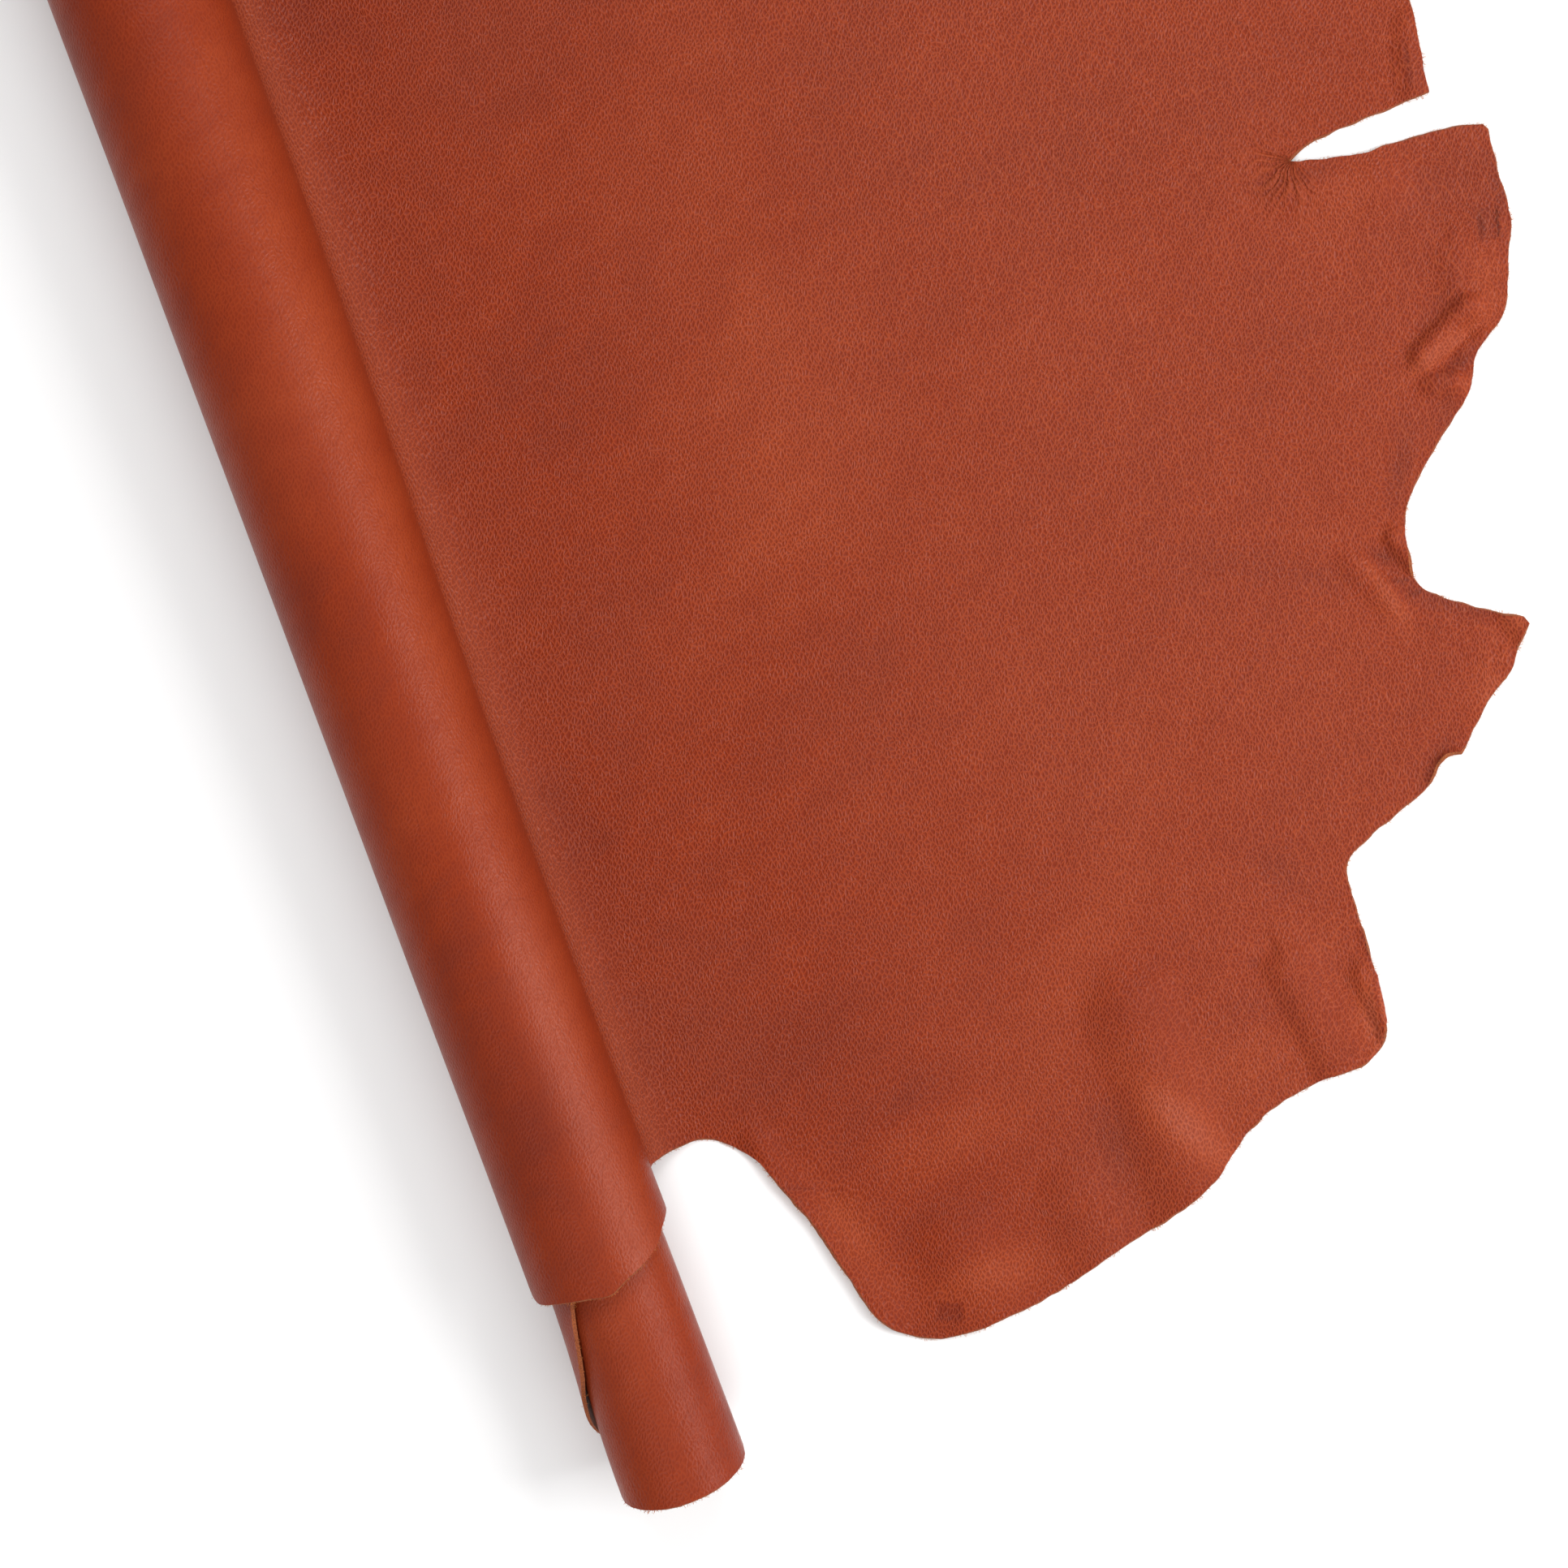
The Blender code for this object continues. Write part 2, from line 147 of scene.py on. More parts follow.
# Folds of the flat part, each a rise along a line: x and y of both ends, half width on the left and
# on the right of that line, height.
FOLDS = (
    (460, 111, 497, 129, 9, 15, 6.0),
    (497, 131, 500, 158, 18, 34, 2.6),
    (463, 92, 473, 88, 10, 14, 5.0),
    (484, 103, 502, 108, 7, 9, 3.0),
    (404, 10, 412, -12, 11, 8, 5.0),
    (378, 4, 392, -24, 9, 16, 2.5),
    (458, -56, 464, -80, 15, 15, 5.0),
    (379, -139, 387, -131, 8, 8, 5.5),
    (387, -131, 398, -131, 8, 8, 3.5),
    (-102, -206, -62, -326, 26, 22, 6.0),
    (152, -205, 148, -335, 36, 36, 7.0),
    (2, -305, 6, -362, 36, 36, 4.0),
    (82, -300, 86, -350, 32, 32, 4.0),
    (250, -215, 258, -290, 30, 18, 5.0),
    (292, -235, 296, -275, 16, 10, 4.0),
    (428, 236, 470, 220, 26, 30, 4.0),
    (514, 262, 524, 304, 14, 14, 3.0),
)

# Creases, each a sharp line with the leather raised on both sides: x and y of both ends, half width,
# height, and how much darker it is coloured along the line: dye gathered in the crease together with
# painted shade there, and below 0 a painted highlight along it.
CREASES = (
    (389, -13, 405, -17, 4, 0.7, 0.9),
    (401, -26, 410, -26, 4, 0.6, 0.8),
    (394, -40, 411, -52, 4, 0.4, 0.5),
    (379, -17, 390, -55, 3, 0.3, -0.8),
    (302, -206, 299, -234, 2.6, 0.9, 1.6),
    (299, -234, 295, -251, 2.8, 1.1, 2.0),
    (295, -251, 292, -272, 3.2, 1.3, 2.4),
    (-88, -232, -50, -248, 4, 0.5, 0.5),
    (505, 270, 513, 294, 4, 0.9, -0.5),
    (512, 268, 517, 292, 4, 0.9, 0.7),
    (530.6, 162, 534.8, 177.5, 2.4, 0.6, 1.5),
    (422, 345, 437, 328, 4, 0.5, 0.8),
    (300, -30, 250, -62, 9, 0.4, 0.3),
    (226, -46, 268, -58, 8, 0.3, 0.3),
)

# Wrinkles that fan out from the tip of the slit: where from, how far, how many on a full circle,
# how unevenly they spread, and the angles from their middle between which they fade out.
WRINKLE_CENTRE = (427, 250)
WRINKLE_START = 6.0
WRINKLE_REACH = 40.0
WRINKLE_FADE = 1.3
WRINKLE_COUNT = 19
WRINKLE_WANDER = 1.3
WRINKLE_HEIGHT = 1.3
WRINKLE_HEADING = math.radians(208.0)
WRINKLE_FAN = (math.radians(96.0), math.radians(96.0) - 0.3)

# Soft patches of the colour, darker where positive: x, y, half length, half width, degrees, strength.
# Some are tones of the dye. The others are painted light: painted highlights on the roll's lit flank
# and on the crests of folds, and painted shade on the roll's far flank, beside folds and in hollows.
DYE_AND_LIGHT_PATCHES = (
    # broad tones: darker beside the roll, a painted highlight along the roll's lit right flank, painted
    # shade on its left flank, and lighter in the middle
    (-105, 100, 420, 48, 90, 0.18),
    (-60, -150, 70, 50, 0, 0.35),
    (-236, 240, 440, 20, 90, -0.6),
    (-272, -120, 130, 24, 90, 0.4),
    (85, 280, 130, 52, 78, -0.6),
    (60, 150, 70, 40, 20, -0.35),
    (150, -150, 80, 26, 42, -0.7),
    (250, 330, 120, 80, 0, 0.2),
    (60, 640, 460, 150, 0, 0.3),
    (520, 190, 60, 50, 60, 0.4),
    (150, 0, 110, 60, 0, 0.15),
    # flank and hind leg, with painted highlights on its folds and painted shade beside them
    (12, -206, 42, 13, 15, 0.5),
    (30, -243, 36, 12, 10, -0.5),
    (-56, -272, 42, 13, 105, -0.8),
    (16, -328, 42, 18, 0, -0.9),
    (112, -285, 40, 14, 80, 0.5),
    (157, -282, 38, 12, -62, -1.9),
    (205, -258, 34, 18, 10, -0.5),
    (292, -262, 30, 13, 70, -1.7),
    (120, -275, 22, 12, 60, 0.4),
    (222, -232, 26, 16, 0, 0.5),
    (266, -160, 26, 12, -60, 0.7),
    (233, -204, 4, 4, 0, 1.0),
    # bay and nick, with painted highlights on the bay's crease and the shank's tip, painted shadow in the
    # nick's curl and painted shade along the bay's edge
    (345, 10, 80, 13, -30, 0.6),
    (428, -40, 34, 8, -37, 1.1),
    (395, 2, 12, 6, -40, 1.3),
    (389, -22, 24, 5, -74, -1.8),
    (430, -95, 34, 12, 65, -1.1),
    (381, -130, 20, 7, 40, 1.3),
    (467, 75, 28, 8, 55, 0.8),
    (424, 50, 26, 7, 58, 1.1),
    (457, -62, 9, 9, 0, -1.4),
    # tail, with a painted highlight along its ridge's crest and on the knob below it, painted shade on both
    # sides of the ridge, and painted shade at the slit
    (516, 282, 10, 18, 0, 0.4),
    (472, 128, 26, 7, 35, 0.6),
    (473, 109, 24, 5, 18, -2.4),
    (478, 97, 18, 5, 20, 1.1),
    (477, 84, 9, 8, 0, -1.0),
    (492, 137, 9, 8, 0, 0.35),
    (496, 152, 6, 9, 0, 0.4),
    (512, 142, 28, 12, 80, -0.9),
    (522, 171, 10, 4, 75, 1.0),
    (541, 190, 14, 4, 75, 0.9),
    (436, 238, 15, 6, 0, 0.7),
    (410, 240, 20, 15, 0, 0.5),
    (455, 215, 26, 16, 0, -0.5),
)

# Lines along the roll and the bend beside it, painted paler and pinker as a sheen where the key
# light's highlight falls: x, half width, upper end, strength.
PAINTED_SHEEN_LINES = (
    (-155, 11, 900, 0.5),
    (-240, 17, 60, 0.45),
    (-776, 17, 900, 0.15),
)
PAINTED_SHEEN_FADE = 130.0

# Marks that the toggle clamps of the drying frame pressed in: x, y, half sizes, degrees, and how
# much darker they are.
CLAMP_MARKS = (
    (526.4, 171.5, 7.4, 10.4, -15.0, 0.5),
    (438.5, -76.5, 4.8, 4.6, -28.0, 0.4),
    (436.0, -86.5, 4.8, 4.6, -28.0, 0.4),
    (-18.4, -339.6, 8.5, 5.8, -20.0, 0.7),
    (276.5, -275.5, 10.6, 7.0, 40.0, 0.3),
)
CLAMP_LIP = 0.8
CLAMP_LIP_REACH = 3.5
CLAMP_EDGE = 1.4

MIDDLE = LEATHER / 2
ROLL_LEFT_X = ROLL_AXIS_X - ROLL_RADIUS


def bench_origin():
    """Where the model's origin lies on the bench, from the hide's box."""
    _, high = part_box(HIDE)
    return np.array([TAIL_TIP_X - high[0] / MM, CORE_TOP_Y - high[1] / MM, 0.0])


def to_model(points):
    return (np.asarray(points, float) - bench_origin()) * MM


def linear(hex_colour):
    """Linear RGBA of an sRGB hex colour."""
    parts = np.array([int(hex_colour[i : i + 2], 16) / 255 for i in (1, 3, 5)])
    parts = np.where(parts <= 0.04045, parts / 12.92, ((parts + 0.055) / 1.055) ** 2.4)
    return (*parts.tolist(), 1.0)


# ---- shape of the sheet


def eased(value):
    """Smooth step from 0 to 1."""
    value = np.clip(value, 0.0, 1.0)
    return value * value * (3 - 2 * value)


def ramp(value, start, end):
    """Smooth step from 0 at start to 1 at end."""
    return eased((value - start) / (end - start))


def hermite(part, span, start, end, start_slope, end_slope):
    """A part of the way along a smooth curve from start to end, with given slopes at its ends."""
    from_start = start * (1 + 2 * part) + start_slope * span * part
    from_end = end * (3 - 2 * part) - end_slope * span * (1 - part)
    return from_start * (1 - part) ** 2 + from_end * part**2


def read_table(at, table):
    """Smooth curve through a table's rows (place, value), read at the given places."""
    rows = np.array(table, float)
    places, values = rows[:, 0], rows[:, 1]
    slopes = np.gradient(values, places)
    at = np.clip(at, places[0], places[-1])
    left = np.clip(np.searchsorted(places, at, side="right") - 1, 0, len(places) - 2)
    span = places[left + 1] - places[left]
    part = (at - places[left]) / span
    return hermite(part, span, values[left], values[left + 1], slopes[left], slopes[left + 1])


def waves(points, length, seed, count=9):
    """Smooth uneven pattern of about -1 to 1: sines of about one length in seeded directions."""
    chance = np.random.default_rng(seed)
    total = np.zeros(len(points))
    for _ in range(count):
        heading = chance.uniform(0, math.pi)
        turn = 2 * math.pi / (length * chance.uniform(0.7, 1.6))
        along = points[:, 0] * math.cos(heading) + points[:, 1] * math.sin(heading)
        total += np.sin(along * turn + chance.uniform(0, 2 * math.pi))
    return total / math.sqrt(count * 2)


def unit(rows):
    """Rows scaled to a length of 1."""
    return rows / np.linalg.norm(rows, axis=1)[:, None]


def right_of(headings):
    """Unit directions square to the given ones, on their right."""
    return unit(np.column_stack([headings[:, 1], -headings[:, 0]]))


def bend_profile():
    """Fraction along the bend, and the distance it has run sideways and up there, per its length."""
    along = np.linspace(0.0, 1.0, CURVE_STEPS + 1)
    heading = (math.pi / 2 + PEEL_ANGLE) * along**BEND_POWER
    step = 1.0 / CURVE_STEPS
    middle = (heading[1:] + heading[:-1]) / 2
    side = np.concatenate([[0.0], np.cumsum(np.cos(middle)) * step])
    up = np.concatenate([[0.0], np.cumsum(np.sin(middle)) * step])
    return along, side, up


BEND_ALONG, BEND_SIDE, BEND_UP = bend_profile()
OUTER_TURN_MIDDLE = ROLL_RADIUS - MIDDLE
PEEL_X = ROLL_AXIS_X + OUTER_TURN_MIDDLE * math.cos(PEEL_ANGLE)
PEEL_Z = ROLL_AXIS_Z - OUTER_TURN_MIDDLE * math.sin(PEEL_ANGLE)
BEND_LENGTH = (PEEL_Z - MIDDLE) / BEND_UP[-1]
FOOT_X = PEEL_X + BEND_LENGTH * BEND_SIDE[-1]


def outer_radius(turn):
    """Radius of the grain surface, before the roll's growth along its length."""
    inner = SECOND_TURN_RADIUS - TURN_PITCH * (turn - STEP_DOWN[1])
    outer = ROLL_RADIUS - (ROLL_RADIUS - SECOND_TURN_RADIUS) * ramp(turn, *STEP_DOWN)
    return np.where(turn < STEP_DOWN[1], outer, inner)


# How far the free edge of the second turn stands off the turn inside it, and over what reach.
FREE_EDGE_TURNS = (1.32, 1.40, 1.52, 1.64)
FREE_EDGE_LIFT = 0.9
FREE_EDGE_REACH = 16.0
# Unevenness of the wound turns, and how far round, along and from turn to turn it runs.
ROLL_WAVE = 0.28
ROLL_WAVE_ROUND = 60.0
ROLL_WAVE_WIDTH = 102.0
ROLL_WAVE_LENGTH = 260.0
ROLL_WAVE_TURN = 90.0


def section(turn, y, belly):
    """x and z of the sheet's middle surface in the bend or roll. belly is the y of the cut there."""
    angle = 2 * math.pi * turn - PEEL_ANGLE
    inner = ramp(turn, *STEP_DOWN)
    loose = ramp(y, *LOOSE_Y) * inner
    near_end = ramp(y, *LOOSE_START_Y) * inner
    start, rise, hold, end = FREE_EDGE_TURNS
    free = ramp(turn, start, rise) * ramp(turn, end, hold)
    free = free * FREE_EDGE_LIFT * np.exp(-np.clip(y - belly, 0, None) / FREE_EDGE_REACH)
    round_it = np.column_stack([ROLL_WAVE_ROUND * np.cos(angle), ROLL_WAVE_ROUND * np.sin(angle)])
    ripple = waves(round_it, ROLL_WAVE_WIDTH, seed=5)
    ripple *= waves(np.column_stack([y, turn * ROLL_WAVE_TURN]), ROLL_WAVE_LENGTH, seed=6)
    radius = (outer_radius(turn) - MIDDLE + free) * (1 + LOOSE_GAIN * loose) + ROLL_WAVE * ripple
    x = ROLL_AXIS_X + radius * np.cos(angle) + LOOSE_START_SIDE * near_end - LOOSE_SIDE * loose
    z = ROLL_AXIS_Z + radius * np.sin(angle) - LOOSE_DROP * loose
    in_bend = turn < 0
    part = np.clip(1 + turn, 0.0, 1.0)
    x = np.where(in_bend, FOOT_X - BEND_LENGTH * np.interp(part, BEND_ALONG, BEND_SIDE), x)
    z = np.where(in_bend, MIDDLE + BEND_LENGTH * np.interp(part, BEND_ALONG, BEND_UP), z)
    z = np.maximum(z, MIDDLE)
    growth = read_table(y, ROLL_GROWTH)
    return ROLL_LEFT_X + growth * (x - ROLL_LEFT_X), MIDDLE + growth * (z - MIDDLE)


def distances(turns):
    """Distance along the sheet from the foot of the bend to each turn."""
    fine = np.linspace(0.0, TURNS, CURVE_STEPS)
    lengths = (outer_radius(fine) - MIDDLE) * 2 * math.pi
    run = np.concatenate([[0.0], np.cumsum((lengths[1:] + lengths[:-1]) / 2 * np.diff(fine))])
    rolled = BEND_LENGTH + np.interp(turns, fine, run)
    return np.where(turns < 0, BEND_LENGTH * (1 + turns), rolled)


def belly_y(turns):
    """The cut at the belly end of each turn: by the table on the turns that show, and then on a
    slanted plane, a little uneven from turn to turn."""
    listed = read_table(turns, BELLY_EDGE)
    height = (outer_radius(turns) - MIDDLE) * np.sin(2 * math.pi * turns - PEEL_ANGLE)
    round_it = np.column_stack([turns * END_TURN_LENGTH, turns * 0])
    ragged = waves(round_it, END_RAGGED_LENGTH, seed=11) * END_RAGGED
    slanted = SLANT_Y - SLANT * height + ragged
    return listed + (slanted - listed) * ramp(turns, *SLANTED_FROM)


def backbone_y(turns):
    """The backbone cut: straight on the flat part, and each turn a little further out on the roll."""
    return BACKBONE_Y + TELESCOPE * np.clip(turns, 0.0, TELESCOPE_TURNS)


def bend_through(before, here, after):
    """Direction of a centripetal Catmull-Rom curve at a point, per unit of its own parameter."""
    first = np.linalg.norm(here - before) ** 0.5
    second = np.linalg.norm(after - here) ** 0.5
    return (here - before) / first - (after - before) / (first + second) + (after - here) / second


def spline(points, corners, step):
    """Points about a step apart on a smooth curve through the given ones, broken at the corners."""
    last = len(points) - 1
    made = [points[0]]
    for i in range(last):
        start, end = points[i], points[i + 1]
        span = np.linalg.norm(end - start) ** 0.5
        straight = (end - start) / span
        at_start = straight if i == 0 or corners[i] else bend_through(points[i - 1], start, end)
        at_end = straight if i + 1 == last or corners[i + 1] else bend_through(start, end, points[i + 2])
        count = max(1, round(np.linalg.norm(end - start) / step))
        for part in np.arange(1, count + 1) / count:
            made.append(hermite(part, span, start, end, at_start, at_end))
    return np.array(made)


def beside_line(points, row):
    """Distance of each point to a line between two ends, the part of the line that it is nearest to
    (below 0 or above 1 past the ends), and whether it is on the line's left."""
    start, end = np.array(row[:2], float), np.array(row[2:4], float)
    run = end - start
    part = (points - start) @ run / (run @ run)
    away = np.linalg.norm(points - start - np.clip(part, 0, 1)[:, None] * run, axis=1)
    left = run[0] * (points[:, 1] - start[1]) - run[1] * (points[:, 0] - start[0]) > 0
    return away, part, left


def beside_crease(points, row):
    """Distance to a crease as a fraction of its half width, and how fully it has formed there."""
    away, part, _ = beside_line(points, row)
    formed = ramp(part, *CREASE_FORMS) * ramp(1 - part, *CREASE_FORMS)
    return np.clip(away / row[4], 0, 1), formed


def turned(points, x, y, degrees):
    """Each point's place from a centre, along a direction and across it."""
    turn = math.radians(degrees)
    dx, dy = points[:, 0] - x, points[:, 1] - y
    return dx * math.cos(turn) + dy * math.sin(turn), dy * math.cos(turn) - dx * math.sin(turn)


def beside_mark(points, mark):
    """Distance outside a clamp's mark, or, below 0, the distance inside it to its nearest side."""
    x, y, half_x, half_y, degrees, _ = mark
    along, across = turned(points, x, y, degrees)
    return np.maximum(np.abs(along) - half_x, np.abs(across) - half_y)


def fold_height(points):
    """Rise of the flat part above the surface it lies on: its folds, creases and soft waves."""
    height = np.zeros(len(points))
    for row in FOLDS:
        away, _, left = beside_line(points, row)
        away = away / np.where(left, row[4], row[5])
        height += row[6] * np.clip(1 - away**2, 0.0, None) ** 2
    for row in CREASES:
        away, tail = beside_crease(points, row)
        height += row[5] * RIDGE_PEAK * away * (1 - away) ** 2 * tail
    for mark in CLAMP_MARKS:
        away = beside_mark(points, mark)
        lip = CLAMP_LIP * np.exp(-np.clip(away, 0, None) / CLAMP_LIP_REACH)
        height += lip * eased(away / CLAMP_EDGE + 0.5)
    return height + slit_wrinkles(points) + flat_waves(points)


RIDGE_PEAK = 6.75  # makes t (1 - t)^2 peak at 1
CREASE_FORMS = (-0.15, 0.1)
# Soft waves of the loose flank and tail: height, length, what is added before the low ones are cut
# off, and where the leather gets loose.
FLAT_WAVE = 1.1
FLAT_WAVE_LENGTH = 190.0
FLAT_WAVE_RAISE = 0.35
LOOSE_FLANK_Y = (-60, -220)
LOOSE_TAIL_X = (300, 420)


def slit_wrinkles(points):
    """Height of the wrinkles that fan out from the tip of the slit, away from its opening."""
    offset = points - np.array(WRINKLE_CENTRE, float)
    away = np.linalg.norm(offset, axis=1)
    angle = np.arctan2(offset[:, 1], offset[:, 0]) - WRINKLE_HEADING
    angle = np.arctan2(np.sin(angle), np.cos(angle))
    fan = 0.5 + 0.5 * np.cos(angle * WRINKLE_COUNT + WRINKLE_WANDER * np.sin(angle * 3))
    fade = eased(away / WRINKLE_START) * np.clip(1 - away / WRINKLE_REACH, 0, None) ** WRINKLE_FADE
    return WRINKLE_HEIGHT * fan * fade * ramp(np.abs(angle), *WRINKLE_FAN)


def flat_waves(points):
    """Soft waves of the loose flank and tail, where the leather doesn't quite touch the surface."""
    loose = np.maximum(ramp(points[:, 1], *LOOSE_FLANK_Y), ramp(points[:, 0], *LOOSE_TAIL_X))
    raised = waves(points, FLAT_WAVE_LENGTH, seed=3) + FLAT_WAVE_RAISE
    return FLAT_WAVE * loose * np.clip(raised, 0, None)


def place(along, y, turns, belly):
    """Where points of the pattern lie on the finished hide: the middle surface of the leather."""
    rolled_x, rolled_z = section(turns, y, belly)
    flat = np.column_stack([FOOT_X + along, y])
    shift = (read_table(y, ROLL_GROWTH) - 1) * (FOOT_X - ROLL_LEFT_X)
    flat_x = flat[:, 0] + shift * (1 - eased(along / GROWTH_FADE))
    lies_flat = along >= 0
    x = np.where(lies_flat, flat_x, rolled_x)
    z = np.where(lies_flat, MIDDLE + fold_height(flat) * eased(along / FOLDS_START), rolled_z)
    return np.column_stack([x, y, z])


# ---- division of the pattern

ROW_COUNT = 44
ROW_CROWDING = 0.55
OUTER_STATIONS = 76
INNER_STATIONS = 28
OUTER_TURNS = 1.65
BEND_STATIONS = 22
EDGE_STEP = 2.4
FINEST_STEP = 2.2
FOLD_STEP = 3.0
CREASE_STEP = 1.4
# How much of a fold's width and of the fan's reach is divided finely, and the least beside a crease.
FOLD_SHARE = 0.8
FAN_SHARE = 0.7
CREASE_BAND = 2.0
WIDEST_STEP = 6.8
STEP_GAIN = 0.13
STEP_RATIO = 1.3
LATTICE_GAP = 0.62
GRID_STEP = 4.0
# How far the flat part's cut strays, in waves of two lengths, and the steps of edge that it starts in.
RAGGED = 0.35
RAGGED_LENGTH = 17.0
RAGGED_SHORT = 7.0
RAGGED_START = 6


def columns():
    """Turns at which the roll and bend are divided, from the foot of the bend inwards."""
    bend = np.linspace(-1.0, 0.0, BEND_STATIONS + 1)
    outer = np.arange(1, round(OUTER_TURNS * OUTER_STATIONS) + 1) / OUTER_STATIONS
    inner = np.linspace(outer[-1], TURNS, round((TURNS - outer[-1]) * INNER_STATIONS) + 1)
    return np.concatenate([bend, outer, inner[1:]])


def row_parts():
    """Fractions from the belly to the backbone, closer together near the belly."""
    even = np.linspace(0.0, 1.0, ROW_COUNT)
    return even + ROW_CROWDING * (even**2 - even)


def rolled_grid():
    """Pattern points of the roll and bend in columns, with each one's turn and belly edge."""
    turns = columns()
    belly, backbone = belly_y(turns), backbone_y(turns)
    y = belly[:, None] + (backbone - belly)[:, None] * row_parts()[None, :]
    along = np.repeat(-distances(turns)[:, None], ROW_COUNT, axis=1)
    turns, belly = (np.repeat(x[:, None], ROW_COUNT, axis=1) for x in (turns, belly))
    return along, y, turns, belly


def flat_outline():
    """The cut edge of the flat part, from the foot of the bend round to it again, without the foot."""
    foot = (FOOT_X, belly_y(np.array([-1.0]))[0])
    rows = np.array([foot, *(row[:2] for row in FLAT_EDGE)], float)
    edge = spline(rows, [False, *(len(row) > 2 for row in FLAT_EDGE)], EDGE_STEP)
    top = np.arange(BACKBONE_CORNER_X, FOOT_X + WIDEST_STEP / 2, -WIDEST_STEP)
    top = np.column_stack([top, np.full(len(top), BACKBONE_Y)])
    edge = np.vstack([edge[1:], top])
    ahead = np.roll(edge, -1, axis=0) - np.roll(edge, 1, axis=0)
    ahead[0], ahead[-1] = edge[1] - edge[0], edge[-1] - edge[-2]
    ragged = waves(edge, RAGGED_LENGTH, seed=21) + 0.5 * waves(edge, RAGGED_SHORT, seed=22)
    ragged *= eased(np.arange(len(edge)) / RAGGED_START) * (edge[:, 1] < BACKBONE_Y - 1)
    return edge + right_of(ahead) * (RAGGED * ragged - CUT_SLANT / 2)[:, None] - (FOOT_X, 0.0)


def inside(points, loop):
    """Whether each point lies inside a closed loop, by counting crossings."""
    end = np.roll(loop, -1, axis=0)
    count = np.zeros(len(points), int)
    for (x0, y0), (x1, y1) in zip(loop, end):
        if y0 == y1:
            continue
        spans = (y0 > points[:, 1]) != (y1 > points[:, 1])
        count += spans & (points[:, 0] < x0 + (points[:, 1] - y0) * (x1 - x0) / (y1 - y0))
    return count % 2 == 1


def wanted_step(points, to_edge):
    """The spacing that the mesh should have at each bench point of the flat part."""
    step = np.minimum(FINEST_STEP + STEP_GAIN * to_edge, WIDEST_STEP)
    fan = np.linalg.norm(points - np.array(WRINKLE_CENTRE, float), axis=1)
    features = [(fan - WRINKLE_REACH * FAN_SHARE, CREASE_STEP, 2)]
    for row in FOLDS:
        half_wide = max(row[4], row[5]) * FOLD_SHARE
        features.append((beside_line(points, row)[0] - half_wide, FOLD_STEP, 1))
    for row in CREASES:
        half_wide = max(row[4] / 2, CREASE_BAND)
        features.append((beside_line(points, row)[0] - half_wide, CREASE_STEP, 2))
    for mark in CLAMP_MARKS:
        features.append((np.abs(beside_mark(points, mark)) - CLAMP_EDGE, CREASE_STEP, 3))
    for past, finest, gain in features:
        step = np.minimum(step, finest + gain * STEP_GAIN * np.clip(past, 0, None))
    return step


def read_grid(points, low, values):
    """Values of a square grid of spacing GRID_STEP, read between its points."""
    at = np.clip((points - low) / GRID_STEP, 0, np.array(values.shape) - 1.001)
    corner = at.astype(int)
    part = at - corner
    i, j = corner.T
    a = values[i, j] * (1 - part[:, 1]) + values[i, j + 1] * part[:, 1]
    b = values[i + 1, j] * (1 - part[:, 1]) + values[i + 1, j + 1] * part[:, 1]
    return a * (1 - part[:, 0]) + b * part[:, 0]


def tree_of(points):
    tree = KDTree(len(points))
    for i, (x, y) in enumerate(points):
        tree.insert((x, y, 0.0), i)
    tree.balance()
    return tree


def distance_to(tree, points):
    return np.array([tree.find((x, y, 0.0))[2] for x, y in points])


def lattice(low, high, step):
    """Points of a triangular lattice in a rectangle."""
    across, up = np.arange(low[0], high[0], step), np.arange(low[1], high[1], step * math.sqrt(3) / 2)
    x, y = np.meshgrid(across, up)
    x[1::2] += step / 2
    return np.column_stack([x.ravel(), y.ravel()])


def flat_points(loop):
    """Points inside the flat part, closer together near its edge, folds and creases."""
    low, high = loop.min(axis=0) - GRID_STEP, loop.max(axis=0) + GRID_STEP
    x = np.arange(low[0], high[0] + GRID_STEP, GRID_STEP)
    y = np.arange(low[1], high[1] + GRID_STEP, GRID_STEP)
    grid = np.stack(np.meshgrid(x, y, indexing="ij"), axis=-1).reshape(-1, 2)
    to_edge = distance_to(tree_of(loop), grid)
    wanted = wanted_step(grid + (FOOT_X, 0.0), to_edge).reshape(len(x), len(y))
    chosen = loop
    step = CREASE_STEP
    while step < WIDEST_STEP * STEP_RATIO:
        group = lattice(low, high, step)
        spacing = read_grid(group, low, wanted)
        keep = (spacing >= step / math.sqrt(STEP_RATIO)) & (spacing < step * math.sqrt(STEP_RATIO))
        group = group[keep]
        group = group[inside(group, loop)]
        apart = distance_to(tree_of(chosen), group)
        chosen = np.vstack([chosen, group[apart > LATTICE_GAP * step]])
        step *= STEP_RATIO
    return chosen[len(loop) :]


def flat_part(foot):
    """Points and triangles of the flat part. Its first points are the foot of the bend."""
    outline = flat_outline()
    loop = np.vstack([outline, foot[::-1]])
    inner = flat_points(loop)
    points = np.vstack([foot, outline, inner])
    ring = [*range(len(foot), len(foot) + len(outline)), *range(len(foot) - 1, -1, -1)]
    lines = list(zip(ring, ring[1:] + ring[:1]))
    found = delaunay_2d_cdt([Vector(p) for p in points], lines, [], 0, 1e-5)
    faces = np.array([[found[3][i][0] for i in face] for face in found[2]])
    return points, faces[inside(points[faces].mean(axis=1), loop)], ring


